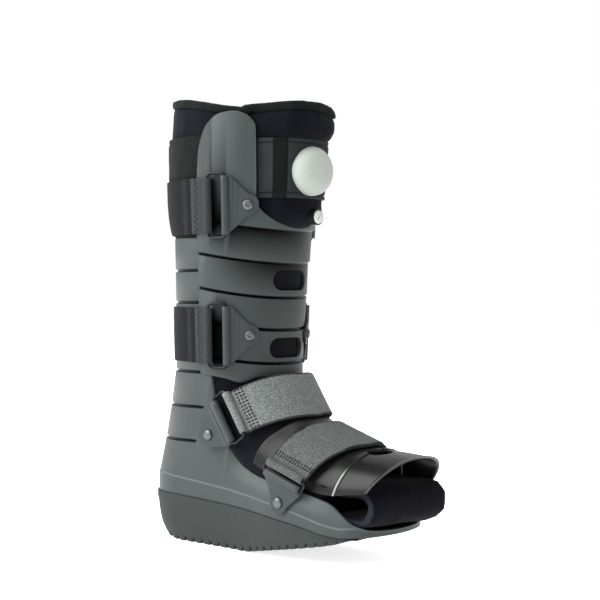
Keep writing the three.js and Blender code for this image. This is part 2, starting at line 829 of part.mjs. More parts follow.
function valveRing() {
  const depth = 14;
  const radius = valveDiameter / 2;
  const recess = 2;
  const inner = valveCapDiameter / 2 + gap;
  const top = depth + valveReach;
  const profile = [[0, 0], [radius, 0], [radius, top], [inner, top], [inner, top - recess],
    [0, top - recess]];
  return turned(profile, valvePlace(-depth), new THREE.Vector3(1, 0, 0), 16)
    .subtract(linerLoft(gap, 0))
    .subtract(frontBlock(-far, frontWall + gap, gap));
}

function valveCap() {
  const radius = valveCapDiameter / 2;
  return turned([[0, 0], [radius, 0], [radius, 2], [radius - 0.8, 2.6], [0, 2.6]],
    valvePlace(valveReach - 2 + gap), new THREE.Vector3(1, 0, 0), 16);
}

// A point over the instep: between two sections it lies on a straight line
function instepPoint(turn, place, out) {
  const first = Math.min(Math.floor(place), instep.length - 2);
  const here = sectionPoint(instep[first], turn, out);
  return here.lerp(sectionPoint(instep[first + 1], turn, out), place - first);
}

// Wall of the toe cover between two layers over the instep
function coverBlock(from, to, ribRise) {
  const turns = bothSides([...halfTurns.filter((turn) => turn < coverTurn), coverTurn]);
  const half = ribWidth / (2 * (instep[4].ridge - instep[3].ridge));
  const places = [0, 1, 2, 3, ribPlace - half, ribPlace - half / 2, ribPlace + half / 2,
    ribPlace + half, 4, 5];
  const shares = places.map((_, index) => index);
  const placeAt = (turn, share) => {
    const start = mix(coverStart, coverSideStart, (Math.abs(turn) / coverTurn) ** 2);
    return share < 2 ? mix(start, 2, share / 2) : places[share];
  };
  const raised = (share) => (share === 5 || share === 6 ? ribRise : 0);
  return wallPatch(turns, shares,
    (turn, share) => instepPoint(turn, placeAt(turn, share), to + raised(share)),
    (turn, share) => instepPoint(turn, placeAt(turn, share), from));
}

// Toe cover: a thin arch from under the straps to past the toes, with a rib and a hole
function toeCover() {
  const hole = rod(new THREE.Vector3(toeHoleAlong, toeHoleAcross, wrapBottom),
    new THREE.Vector3(toeHoleAlong, toeHoleAcross, ankleHeight), toeHoleDiameter / 2, 18);
  return coverBlock(gap, gap + panelWall, ribHeight).subtract(hole);
}

// Toe wrap: a thick sheet folded round the toes, open towards the heel
function toeWrap() {
  const radius = (wrapTop - wrapBottom) / 2;
  const middle = (wrapTop + wrapBottom) / 2;
  const nose = wrapNose - radius;
  const half = wrapWidth / 2;
  const folds = [null, ...spread(90, -90, 8), null];
  const shares = folds.map((_, index) => index);
  const along = (thin) => (across, share) => {
    const reach = radius - thin;
    const turn = folds[share];
    const height = share === 0 ? reach : -reach;
    const x = turn === null ? wrapStart : nose + reach * Math.cos(turn * deg);
    const z = turn === null ? middle + height : middle + reach * Math.sin(turn * deg);
    const skew = THREE.MathUtils.smoothstep(x, wrapStart, nose);
    return new THREE.Vector3(x + wrapSkew * (across + half) * skew, across, z);
  };
  const under = sectionLoft([foot[2], foot[3], ...toe], 0);
  const below = prism("y", [[wrapStart, 0], [wide, 0], [wide, wrapTop], [wrapStart, wrapTop]],
    -half - 1, half + 1);
  return wallPatch([-half, half], shares, along(0), along(linerWall))
    .subtract(tubKeepOut())
    .subtract(linerLoft(gap, gap))
    .intersect(under.add(below));
}

// Outsole with a rockered tread and grooves across it
function outsole() {
  const tread = linePoints(treadLine);
  const tip = tread[tread.length - 1];
  const seam = linePoints(seamLine).filter(([x]) => x < tip[0] - 5);
  const profile = [[-wide, tread[0][1]], ...tread, ...[...seam].reverse(), [-wide, seam[0][1]]];
  const body = planLoft(soleSections.map(heelSlice), solePride)
    .intersect(prism("y", profile, -wide, wide));
  const count = Math.floor((heelReach + tip[0]) / lugPitch);
  const first = 0.5 - Math.floor(heelReach / lugPitch);
  const cutters = spread(0, count - 1, count - 1).map((step) => {
    const middle = (first + step) * lugPitch;
    const z = lineAt(treadLine, middle);
    const depth = Math.min(lugDepth, (lineAt(seamLine, middle) - z) / 2);
    const slope = (lineAt(treadLine, middle + 3) - lineAt(treadLine, middle - 3)) / 6;
    const along = new THREE.Vector2(1, slope).normalize();
    const up = new THREE.Vector2(-along.y, along.x);
    const corner = (a, b) => [middle + along.x * a + up.x * b, z + along.y * a + up.y * b];
    return prism("y", [corner(-lugGap, -10), corner(lugGap, -10), corner(lugGap / 2, 0),
      corner(lugGap / 3, depth), corner(-lugGap / 3, depth), corner(-lugGap / 2, 0)],
    -wide, wide);
  });
  return cutters.reduce((solid, cutter) => solid.subtract(cutter), body);
}

// Seats of the ring buckles. A seat maps a place to a point: x runs from the middle of the
// ring towards the strap, v across the strap, out away from the shell.
function calfSeat(level, ringTurn, side) {
  const section = shellAt(level);
  const layer = grown(frontInner(level), frontWall + seatLift);
  const turns = spread(0, 180, 180);
  const marks = turns.map((turn) => sectionPoint(section, turn, layer));
  const arc = [0];
  for (let step = 1; step < marks.length; step += 1) {
    arc.push(arc[step - 1] + marks[step].distanceTo(marks[step - 1]));
  }
  const rows = turns.map((turn, step) => ({ turn, arc: arc[step] }));
  const start = arc[Math.round(ringTurn)];
  return (x, v, out) => {
    const turn = readTable(rows, "arc", "turn", start + x);
    const height = level + v;
    return sectionPoint(shellAt(height), side * turn,
      grown(frontInner(height), frontWall + seatLift + out));
  };
}

function flatSeat(frame, side) {
  return (x, v, out) => frame.origin.clone()
    .addScaledVector(frame.up, x)
    .addScaledVector(frame.along, v)
    .setY(side * (frame.half + out));
}

// Frame of a ring on its seat: both bars lie in one flat plane
function ringFrame(buckle, seat) {
  const bar = barAt(buckle);
  const height = loopRadius + loopLift;
  const first = seat(bar, 0, height);
  const second = seat(-bar, 0, height);
  const across = seat(0, 10, height).sub(seat(0, -10, height));
  const u = first.clone().sub(second).normalize();
  const normal = u.clone().cross(across).normalize();
  const v = normal.clone().cross(u).normalize();
  const middle = first.clone().add(second).multiplyScalar(0.5);
  return { middle, u, v, normal, half: first.distanceTo(second) / 2 };
}

// A rod along one bar of a ring, as wide as asked; end 1 is the strap's bar, -1 the tab's
function barRod(frame, end, width, radius, sides) {
  const centre = frame.middle.clone().addScaledVector(frame.u, end * frame.half);
  return rod(centre.clone().addScaledVector(frame.v, -width / 2),
    centre.clone().addScaledVector(frame.v, width / 2), radius, sides);
}

const boreRadius = wire / 2 + 0.6;

function barAt(buckle) {
  return buckle.ringWidth / 2 - wire / 2;
}

function ring(buckle, frame) {
  const reach = buckle.ringLength / 2 - wire / 2;
  const corner = 4;
  const path = [[1, 1], [-1, 1], [-1, -1], [1, -1]].flatMap(([a, b], quarter) => (
    spread(0, 90, 2).map((turn) => {
      const angle = (turn + 90 * quarter) * deg;
      return [a * (frame.half - corner) + corner * Math.cos(angle),
        b * (reach - corner) + corner * Math.sin(angle), angle];
    })));
  const loops = path.map(([x, y, angle]) => spread(0, 360, 5).slice(1).map((turn) => {
    const swing = (wire / 2) * Math.cos(turn * deg);
    return frame.middle.clone()
      .addScaledVector(frame.u, x + swing * Math.cos(angle))
      .addScaledVector(frame.v, y + swing * Math.sin(angle))
      .addScaledVector(frame.normal, (wire / 2) * Math.sin(turn * deg));
  }));
  return skin(loops, true);
}

// Tab: a plate that narrows to a round tip, with a loop round the bar of the ring
function tab(buckle, seat, frame) {
  const bar = barAt(buckle);
  const { tabLength, tabWidth, tipRadius, shoulder } = buckle;
  const straight = tabLength - tipRadius;
  const halfAt = (x) => (x < straight
    ? mix(tabWidth / 2, tipRadius, Math.max(x - shoulder, 0) / (straight - shoulder))
    : Math.sqrt(Math.max(tipRadius ** 2 - (x - straight) ** 2, 0.25)));
  const stations = [0, shoulder, mix(shoulder, straight, 0.5), straight,
    ...[35, 72].map((turn) => straight + tipRadius * Math.sin(turn * deg))];
  const plate = wallPatch(stations, [-1, 0, 1],
    (x, share) => seat(-bar - x, share * halfAt(x), plateLift + tabWall),
    (x, share) => seat(-bar - x, share * halfAt(x), plateLift));
  const hole = rod(rivetPoint(buckle, seat, -3), rivetPoint(buckle, seat, tabWall + 3),
    shankDiameter / 2 + gap, 6);
  return plate.add(barRod(frame, -1, tabWidth, loopRadius, 8))
    .subtract(barRod(frame, -1, tabWidth + 10, boreRadius, 6))
    .subtract(hole);
}

function rivetPoint(buckle, seat, out) {
  return seat(-barAt(buckle) - buckle.tabLength + buckle.tipRadius, 0, out);
}

function rivet(buckle, seat) {
  const low = rivetPoint(buckle, seat, plateLift);
  const direction = rivetPoint(buckle, seat, 5).sub(low).normalize();
  const head = rivetDiameter / 2;
  const base = tabWall + gap + 0.3;
  const profile = [[0, 0], [shankDiameter / 2, 0], [shankDiameter / 2, base], [head, base],
    [head * 0.95, base + rivetHeight * 0.4], [head * 0.6, base + rivetHeight * 0.9],
    [0, base + rivetHeight]];
  return turned(profile, low, direction, 8);
}

function withLoops(strap, buckle, frames) {
  const looped = frames.reduce((solid, frame) => (
    solid.add(barRod(frame, 1, buckle.strapWidth, loopRadius, 8))), strap);
  return frames.reduce((solid, frame) => (
    solid.subtract(barRod(frame, 1, buckle.strapWidth + 10, boreRadius, 6))), looped);
}

// Calf strap: from one ring round the back of the leg to the other
function calfStrap(buckle, seats, frames) {
  const start = turnOf(seats[1](barAt(buckle), 0, 0), shellAt(buckle.level));
  const side = [start, seamTurn, 94, 105, 120, 135, 150, 165];
  const turns = [...side, 180, ...[...side].reverse().map((turn) => 360 - turn)];
  const low = buckle.level - buckle.strapWidth / 2;
  const high = buckle.level + buckle.strapWidth / 2;
  const bends = calf.map((section) => section.level)
    .filter((level) => level > low + 2 && level < high - 2).reverse();
  const point = (out) => (turn, level) => {
    const past = THREE.MathUtils.smoothstep(Math.min(turn, 360 - turn), seamTurn + 3, 105);
    const onFront = grown(frontInner(level), frontWall + seatLift);
    const onRear = rearOuter + gap;
    return sectionPoint(shellAt(level), turn, {
      front: onFront.front + out, side: mix(onFront.side, onRear, past) + out,
      tail: mix(onFront.tail, onRear, past) + out,
    });
  };
  return withLoops(wallPatch(turns, [low, ...bends, high], point(strapWall), point(0)),
    buckle, frames);
}

function turnOf(point, section) {
  const angle = Math.atan2(point.y, point.x);
  const missed = (turn) => {
    const mark = sectionPoint(section, turn, frontSide + frontWall + seatLift);
    return Math.abs(Math.atan2(mark.y, mark.x) - angle);
  };
  return spread(40, 120, 160).sort((a, b) => missed(a) - missed(b))[0];
}

// Foot strap: an arch over the instep between its two rings
function strapFrame(strap) {
  const tilt = strap.tilt * deg;
  const up = new THREE.Vector3(Math.cos(tilt), 0, Math.sin(tilt));
  const along = new THREE.Vector3(Math.sin(tilt), 0, -Math.cos(tilt));
  const ridge = new THREE.Vector3(strap.ahead * footReach, 0, strap.level * ankleHeight);
  const rise = strap.rise * ankleHeight;
  const half = strap.half * ballWidth;
  const origin = ridge.clone().addScaledVector(up, -rise).addScaledVector(along, -strap.drift);
  return { up, along, ridge, rise, half, origin };
}

function footStrap(strap, buckle, frames) {
  const { up, along, ridge, rise: arch, half } = strapFrame(strap);
  const limit = Math.acos((barAt(buckle) / arch) ** (roundness / 2)) / deg;
  const turns = spread(-limit, limit, 16);
  const point = (out) => (turn, share) => {
    const side = Math.abs(turn) / 90;
    const width = mix(buckle.ridgeWidth, buckle.strapWidth, side);
    const rise = (arch + out) * powered(Math.cos(turn * deg), roundness);
    return ridge.clone()
      .addScaledVector(up, rise - arch)
      .addScaledVector(along, share * width / 2 - strap.drift * side)
      .setY((half + out) * powered(Math.sin(turn * deg), roundness));
  };
  return withLoops(wallPatch(turns, [-1, 0, 1], point(strapWall), point(0)), buckle, frames)
    .subtract(coverBlock(0, panelWall + 2 * gap, 0));
}

const boot = new THREE.Group();
function put(name, solid, material) {
  boot.add(meshOf(name, solid, material));
}

put("outsole", outsole(), soleRubber);
put("rear_shell", rearShell(), shellPlastic);
put("front_shell", frontShell(), shellPlastic);
put("liner", liner(), linerCloth);
put("liner_rim", rearBinding(), bindingCloth);
put("front_flap", frontFlap(), linerCloth);
put("flap_rim", flapBinding(), bindingCloth);
put("calf_band", calfBand(), pileCloth);
put("pump_bulb", pumpBulb(), bulbRubber);
put("valve_ring", valveRing(), bindingCloth);
put("valve_cap", valveCap(), capPlastic);
put("toe_cover", toeCover(), panelPlastic);
put("toe_wrap", toeWrap(), linerCloth);

function putBuckle(name, buckle, seats, frames) {
  ["outer", "inner"].forEach((side, index) => {
    put(`${name}_ring_${side}`, ring(buckle, frames[index]), ringSteel);
    put(`${name}_tab_${side}`, tab(buckle, seats[index], frames[index]), tabPlastic);
    put(`${name}_rivet_${side}`, rivet(buckle, seats[index]), rivetSteel);
  });
}

for (const strap of calfStraps) {
  const buckle = { ...calfBuckle, level: onLeg(strap.level) };
  const seats = [-1, 1].map((side) => calfSeat(buckle.level, strap.ringTurn, side));
  const frames = seats.map((seat) => ringFrame(buckle, seat));
  put(`${strap.name}_strap`, calfStrap(buckle, seats, frames), pileCloth);
  putBuckle(strap.name, buckle, seats, frames);
}

for (const strap of footStraps) {
  const seats = [-1, 1].map((side) => flatSeat(strapFrame(strap), side));
  const frames = seats.map((seat) => ringFrame(strap.buckle, seat));
  put(`${strap.name}_strap`, footStrap(strap, strap.buckle, frames), webbing);
  putBuckle(strap.name, strap.buckle, seats, frames);
}

export default boot;
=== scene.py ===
"""A tall medical walking boot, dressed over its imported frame.

Lengths are millimetres in the tables and the shape functions, and metres once a mesh is made.
+X points to the toes, +Y to the inner side of the foot, +Z up.
"""

import logging
import math
from dataclasses import dataclass, field
from enum import Enum
from functools import cache
from typing import Callable, Optional, Sequence

import bmesh
import bpy
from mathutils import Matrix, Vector, noise


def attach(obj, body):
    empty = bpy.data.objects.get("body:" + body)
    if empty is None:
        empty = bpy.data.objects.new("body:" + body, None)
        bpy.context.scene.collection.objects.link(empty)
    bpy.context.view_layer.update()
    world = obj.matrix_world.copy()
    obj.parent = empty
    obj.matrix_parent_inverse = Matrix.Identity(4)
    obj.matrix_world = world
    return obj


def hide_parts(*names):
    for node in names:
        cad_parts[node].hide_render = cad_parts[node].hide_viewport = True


LOG = logging.getLogger("boot")
BODY = "root"
METRE = 0.001
GAP = 0.3
ROUND = 2.2

Point = Callable[[float, float], Vector]
Colour = tuple[float, float, float]


class Side(Enum):
    """Sides of the boot, with the sign of their Y."""

    OUTER = -1
    INNER = 1


# Small sums used by the shapes


def mix(start: float, end: float, share: float) -> float:
    """Value that lies a share of the way from start to end."""
    return start + (end - start) * share


def clamp(value: float, low: float = 0.0, high: float = 1.0) -> float:
    """Value kept between low and high."""
    return max(low, min(high, value))


def ramp(value: float, low: float, high: float) -> float:
    """Smooth step from 0 at low to 1 at high."""
    share = clamp((value - low) / (high - low))
    return share * share * (3 - 2 * share)


def powered(value: float, exponent: float) -> float:
    """Signed power that turns a circle's sine or cosine into a rounder square's."""
    return math.copysign(abs(value) ** (2 / exponent), value)


def spread(start: float, end: float, count: int) -> list[float]:
    """Values spread evenly from start to end, with count steps."""
    return [mix(start, end, step / count) for step in range(count + 1)]


def notch(distance: float, width: float) -> float:
    """Depth share of a rounded groove at a distance from its middle."""
    return 1 - ramp(abs(distance), width * 0.22, width * 0.62)


def along_table(rows: Sequence[tuple], value: float, column: int = 1) -> float:
    """Smooth curve through a table's column.

    Args:
        rows: rows of numbers, sorted by their first one.
        value: place along the first column.
        column: the column that is read.

    Returns:
        The column's value there, on a curve that doesn't overshoot.
    """
    if value <= rows[0][0]:
        return rows[0][column]
    if value >= rows[-1][0]:
        return rows[-1][column]
    place = next(i for i in range(1, len(rows)) if rows[i][0] >= value)
    low, high = rows[place - 1], rows[place]
    width = high[0] - low[0]

    def slope(index: int) -> float:
        start, end = rows[index], rows[index + 1]
        return (end[column] - start[column]) / (end[0] - start[0])

    def tangent(index: int) -> float:
        if index <= 0 or index >= len(rows) - 1:
            return slope(place - 1)
        before, after = slope(index - 1), slope(index)
        return 0.0 if before * after <= 0 else 2 * before * after / (before + after)

    t = (value - low[0]) / width
    start, end = tangent(place - 1) * width, tangent(place) * width
    return ((2 * t**3 - 3 * t**2 + 1) * low[column] + (t**3 - 2 * t**2 + t) * start
            + (3 * t**2 - 2 * t**3) * high[column] + (t**3 - t**2) * end)


# Sizes of the leg and the foot, and the tables that share them out

ANKLE = 176.0
CALF_HEIGHT = 252.0
CALF_DEPTH = 130.0
CALF_WIDTH = 114.0
REACH = 196.0
HEEL_REACH = 96.0
BALL = 113.0
HEEL = 91.0
SHELL_TOP = 298.0
TONGUE_TOP = 416.0
REAR_WALL = 3.0
FRONT_WALL = 3.5
BAND_WALL = 2.8
PANEL_WALL = 2.0
STRAP_WALL = 2.4
TAB_WALL = 2.2
REAR_OUT = GAP + REAR_WALL
FRONT_SIDE = REAR_OUT + GAP
SEAT_LIFT = 0.5
LOOP_RADIUS = 3.8
LOOP_LIFT = 0.3
PLATE_LIFT = 0.15
WIRE = 3.0
LOOPS = 24.0
STRAP_ARC = 68.0
SEAT_TAPER = 14.0

# How far the liner's rim sinks, and the places and levels between which it does
RIM_SINK = 8.0
RIM_AHEAD = (-30.0, 50.0)
RIM_LEVELS = (398.0, 426.0)

# The cloth simulation
PRESSURE = 4.0
STIFFNESS = 60.0
LAST_FRAME = 20

# Shares of the way round the plan at which the heel's curve and the side end
HEEL_END = 0.35
SIDE_END = 0.85

# Level, front, side, back and swelling of the padded leg
CALF = [
    (0.000, 0.418, 0.4605, 0.5015, 0.0),
    (0.127, 0.430, 0.471, 0.506, 0.0),
    (0.262, 0.452, 0.481, 0.497, 0.0),
    (0.484, 0.506, 0.5025, 0.4955, 0.0),
    (0.524, 0.516, 0.507, 0.523, 0.070),
    (0.571, 0.530, 0.512, 0.545, 0.120),
    (0.651, 0.555, 0.5175, 0.560, 0.111),
    (0.853, 0.570, 0.544, 0.554, 0.122),
    (1.000, 0.575, 0.535, 0.523, 0.115),
]
SWELL_TURNS = (24.0, 41.0)

# Place, ridge, level, tilt, arch, side, tail and squareness over the instep
INSTEP = [
    (0.0, 0.283, 0.9375, 33.5, 0.318, 0.460, 0.739, 2.4),
    (1.0, 0.485, 0.715, 33.5, 0.318, 0.451, 0.506, 3.0),
    (2.0, 0.553, 0.674, 71.0, 0.261, 0.456, 0.210, 4.0),
    (3.0, 0.808, 0.576, 71.0, 0.227, 0.434, 0.170, 4.0),
    (4.0, 0.969, 0.567, 62.0, 0.216, 0.438, 0.170, 4.0),
    (5.0, 1.092, 0.557, 52.0, 0.205, 0.434, 0.170, 4.0),
]

# Level, centre, back, side and inset of the heel
HEEL_ROWS = [
    (-0.100, -0.450, 0.440, 0.435, 0.050),
    (0.000, -0.450, 0.440, 0.435, 0.050),
    (0.100, -0.480, 0.480, 0.480, 0.010),
    (0.227, -0.500, 0.500, 0.495, 0.0),
    (0.313, -0.500, 0.496, 0.500, 0.0),
    (0.412, -0.437, 0.546, 0.511, 0.0),
    (0.591, -0.281, 0.600, 0.544, 0.0),
    (0.761, -0.146, 0.654, 0.582, 0.0),
    (1.000, 0.000, 0.715, 0.613, 0.0),
]
SOLE_PLAN = [(0.0, 0.0), (0.10, 0.0), (0.26, 0.28), (0.41, 0.72), (0.59, 1.0), (0.72, 1.0), (0.83, 0.80)]
TOE_START = 0.83
TUB_EDGE = [
    (0.051, 0.960), (0.082, 0.767), (0.140, 0.568), (0.250, 0.460), (0.362, 0.420), (0.617, 0.375),
    (0.780, 0.335), (0.850, 0.284), (0.910, 0.232), (0.970, 0.206), (1.080, 0.188),
]
SEAM = [
    (-0.600, 0.270), (-0.330, 0.264), (0.265, 0.233), (0.560, 0.205), (0.842, 0.162),
    (0.898, 0.168), (1.005, 0.176), (1.100, 0.176),
]
TREAD = [
    (-0.480, 0.190), (-0.465, 0.110), (-0.420, 0.045), (-0.340, 0.010), (-0.240, 0.0), (0.190, 0.0),
    (0.330, 0.024), (0.450, 0.050), (0.633, 0.088), (0.830, 0.135), (0.898, 0.168),
]
TONGUE = [
    (40.4, 0.730), (44.0, 0.865), (50.0, 0.955), (60.0, 1.0), (70.0, 0.980), (80.0, 0.860),
    (86.0, 0.600), (90.0, 0.050),
]
HEM = [(0.0, 0.943), (30.0, 0.940), (48.0, 0.915), (64.0, 0.938), (90.0, 0.960)]
CUT_HALF = 44.0
CUT_DEPTH = 30.0
CUT_BOTTOM = 307.0
FRONT_GROOVES = [(187.0, 95.0), (219.5, 95.0), (250.7, 95.0), (283.6, 95.0), (315.5, 64.0)]
GROOVE_FALL = 0.165
GROOVE_WIDTH = 3.0
GROOVE_DEPTH = 2.0
REAR_GROOVES = (101.0, 135.0, 169.0, 236.0, 267.0)
CALF_STRAPS = (("upper", 328.0, 72.0), ("lower", 205.0, 70.0))
WINDOWS = (257.5, 192.5)
WINDOW = (49.0, 19.5, 2.5)


@dataclass(frozen=True)
class Section:
    """One section of the padding or the cover: a ridge with a rounded loop that hangs from it."""

    ridge: float
    level: float
    tilt: float
    arch: float
    side: float
    tail: float
    square: float
    swell: float = 0.0

    def point(self, turn: float, front: float, side: float, tail: float) -> Vector:
        """Point round the section.

        Args:
            turn: 0 at the ridge, 90 at a side and 180 at the tail, in degrees.
            front: how far the front half lies outside the section.
            side: the same for the sides.
            tail: the same for the back half.

        Returns:
            The point, in millimetres.
        """
        cosine, sine = math.cos(math.radians(turn)), math.sin(math.radians(turn))
        square = ROUND if cosine > 0 else self.square
        reach = self.arch + front if cosine > 0 else self.tail + tail
        away = abs((turn + 180) % 360 - 180)
        swell = self.swell * (1 - ramp(away, *SWELL_TURNS))
        along = reach * powered(cosine, square) - self.arch + swell
        tilt = math.radians(self.tilt)
        return Vector((self.ridge + along * math.cos(tilt), (self.side + side) * powered(sine, square),
                       self.level + along * math.sin(tilt)))


def calf_section(level: float, swelling: bool = True) -> Section:
    """Section of the padded leg at a level, with or without the swelling between the tongues."""
    share = clamp((level - ANKLE) / CALF_HEIGHT)
    front, side, back, swell = (along_table(CALF, share, column) for column in (1, 2, 3, 4))
    return Section(front * CALF_DEPTH, level, 0, front * CALF_DEPTH, side * CALF_WIDTH,
                   back * CALF_DEPTH, ROUND, swell * CALF_DEPTH if swelling else 0.0)


def instep_point(turn: float, place: float, out: float) -> Vector:
    """Point over the instep, out from the padding, at a place along its sections."""
    ridge, level, tilt, arch, side, tail, square = (
        along_table(INSTEP, place, column) for column in range(1, 8))
    section = Section(ridge * REACH, level * ANKLE, tilt, arch * ANKLE, side * BALL, tail * ANKLE, square)
    return section.point(turn, out, out, out)


def shell_point(turn: float, level: float, out: float) -> Vector:
    """Point on the inner face of the front shell, moved out by a distance."""
    front = mix(GAP, FRONT_SIDE, ramp(level, SHELL_TOP, SHELL_TOP + SEAT_TAPER))
    return calf_section(level, False).point(turn, front + out, FRONT_SIDE + out, FRONT_SIDE + out)


def padding_point(turn: float, level: float, out: float) -> Vector:
    """Point round the padded leg, moved out by a distance."""
    return calf_section(level).point(turn, out, out, out)


def line_level(line: Sequence[tuple], along: float) -> float:
    """Level of a line seen from the side, at a place along the foot."""
    return along_table(line, along / REACH) * ANKLE


def plan_point(place: float, level: float, out: float) -> Vector:
    """Point round the shell or the sole in plan.

    Args:
        place: 0 at the back of the heel, 1 or -1 at the tip of the toe.
        level: height of the outline.
        out: how far it lies outside the shell.

    Returns:
        The point, in millimetres.
    """
    if level >= ANKLE:
        section = calf_section(min(level, SHELL_TOP), False)
        centre, back, side, inset = 0.0, section.tail + REAR_OUT, section.side + REAR_OUT, 0.0
    else:
        share = level / ANKLE
        centre = along_table(HEEL_ROWS, share, 1) * HEEL_REACH
        back = along_table(HEEL_ROWS, share, 2) * HEEL_REACH
        side = along_table(HEEL_ROWS, share, 3) * HEEL
        inset = along_table(HEEL_ROWS, share, 4) * HEEL
    half = side + out
    ball = BALL / 2 + out - inset
    start = TOE_START * REACH
    away = abs(place)
    if away <= HEEL_END:
        turn = math.radians(180 - 90 * away / HEEL_END)
        x = centre + (back + out) * powered(math.cos(turn), ROUND)
        y = half * powered(math.sin(turn), ROUND)
    elif away <= SIDE_END:
        x = mix(centre, start, (away - HEEL_END) / (SIDE_END - HEEL_END))
        y = mix(half, ball, along_table(SOLE_PLAN, max(x, 0) / REACH))
    else:
        turn = math.radians(90 * (away - SIDE_END) / (1 - SIDE_END))
        x = start + (REACH - start + out) * powered(math.sin(turn), ROUND)
        y = mix(half, ball, SOLE_PLAN[-1][1]) * powered(math.cos(turn), ROUND)
    return Vector((x, math.copysign(y, place) if place else 0.0, level))


# Meshes


@dataclass
class Sheet:
    """A wall or a skin laid out on a grid of columns and rows, with its flat places kept as UVs."""

    name: str
    columns: Sequence[float]
    closed: bool = False

    def wall(self, rows: Callable[[float], Sequence[float]], outer: Point, inner: Point,
             lip: float = 0.8, flat: Optional[Point] = None) -> bpy.types.Object:
        """Wall between two faces, with rounded edges.

        Args:
            rows: gives the rows of a column.
            outer: gives the outer face's point at a column and a row.
            inner: gives the inner face's point.
            lip: how far the rounded edges stand out, in millimetres.
            flat: gives the flat place of a point, in millimetres, if the cloth is laid out; on the shells and
                the toe cover it gives instead the shares of painted shade and painted highlight.

        Returns:
            The new object.
        """
        loops = []
        flats = []
        for column in self.columns:
            levels = list(rows(column))
            front = [outer(column, level) for level in levels]
            back = [inner(column, level) for level in levels]
            loops.append([*front, *self._edge(front[-1], back[-1], front[-2], lip), *reversed(back),
                          *self._edge(back[0], front[0], back[1], lip)])
            if flat:
                face = [flat(column, level) for level in levels]
                flats.append([*face, face[-1], face[-1], *reversed(face), face[0], face[0]])
        return self.loft(loops, flats)

    @staticmethod
    def _edge(start: Vector, end: Vector, behind: Vector, lip: float) -> list[Vector]:
        """Two points that round an edge from one face to the other."""
        away = (start - behind).normalized() * lip
        return [start.lerp(end, 0.22) + away, start.lerp(end, 0.78) + away]

    def loft(self, loops: list[list[Vector]], flats: Optional[list] = None) -> bpy.types.Object:
        """Skin over loops of points, one for each column, capped where the row of loops ends."""
        size = len(loops[0])
        count = len(loops)
        points = [point * METRE for loop in loops for point in loop]
        faces = []
        for column in range(count if self.closed else count - 1):
            here, there = column * size, (column + 1) % count * size
            for step in range(size):
                after = (step + 1) % size
                faces.append((here + step, here + after, there + after, there + step))
        if not self.closed:
            last = (count - 1) * size
            faces += [tuple(reversed(range(size))), tuple(range(last, last + size))]
        made = mesh_object(self.name, points, faces)
        if flats:
            laid = [place for loop in flats for place in loop]
            layer = made.data.uv_layers.new(name="flat")
            for loop in made.data.loops:
                layer.data[loop.index].uv = laid[loop.vertex_index].xy
        tidy(made)
        return made


def placed(name: str, data: bpy.types.ID) -> bpy.types.Object:
    """New object of the scene with the given data."""
    made = bpy.data.objects.new(name, data)
    bpy.context.scene.collection.objects.link(made)
    return made


def mesh_object(name: str, points: Sequence[Vector], faces: Sequence[tuple]) -> bpy.types.Object:
    """New object with a mesh of points and faces."""
    mesh = bpy.data.meshes.new(name)
    mesh.from_pydata([tuple(point) for point in points], [], faces)
    return placed(name, mesh)


def tidy(made: bpy.types.Object) -> None:
    """Merges doubled points, turns the faces out and shades them smooth."""
    work = bmesh.new()
    work.from_mesh(made.data)
    bmesh.ops.remove_doubles(work, verts=work.verts, dist=2e-5)
    bmesh.ops.dissolve_degenerate(work, edges=work.edges, dist=1e-6)
    bmesh.ops.recalc_face_normals(work, faces=work.faces)
    work.to_mesh(made.data)
    work.free()
    made.data.shade_smooth()


def settle(made: bpy.types.Object) -> None:
    """Applies every modifier of an object to its mesh."""
    graph = bpy.context.evaluated_depsgraph_get()
    mesh = bpy.data.meshes.new_from_object(made.evaluated_get(graph))
    made.modifiers.clear()
    made.data = mesh


def sharpen(made: bpy.types.Object, angle: float = 38) -> None:
    """Keeps the edges sharper than an angle, in degrees, crisp in a smooth surface."""
    made.data.set_sharp_from_angle(angle=math.radians(angle))


def cut(made: bpy.types.Object, cutter: bpy.types.Object) -> None:
    """Cuts one solid out of another, shades it smooth again and removes the cutter."""
    step = made.modifiers.new("cut", "BOOLEAN")
    step.operation = "DIFFERENCE"
    step.solver = "EXACT"
    step.object = cutter
    settle(made)
    made.data.shade_smooth()
    bpy.data.objects.remove(cutter)


def prism(name: str, outline: Sequence[tuple], axis: int, low: float, high: float) -> bpy.types.Object:
    """Solid with an outline of pairs, drawn across one axis between two places along it."""
    size = len(outline)

    def place(pair: tuple, along: float) -> Vector:
        values = list(pair)
        values.insert(axis, along)
        return Vector(values) * METRE

    points = [place(pair, along) for along in (low, high) for pair in outline]
    faces = [tuple(range(size)), tuple(reversed(range(size, 2 * size)))]
    faces += [(i, i + size, (i + 1) % size + size, (i + 1) % size) for i in range(size)]
    made = mesh_object(name, points, faces)
    tidy(made)
    return made


def turned(name: str, profile: Sequence[tuple], base: Vector, along: Vector, sides: int = 40
           ) -> bpy.types.Object:
    """Solid of revolution from pairs of radius and height, stood on a point."""
    turn = along.normalized().to_track_quat("Z", "Y").to_matrix()
    loops = []
    for step in range(sides):
        angle = math.tau * step / sides
        cosine, sine = math.cos(angle), math.sin(angle)
        loops.append([base + turn @ Vector((r * cosine, r * sine, z)) for r, z in profile])
    return Sheet(name, [], closed=True).loft(loops)


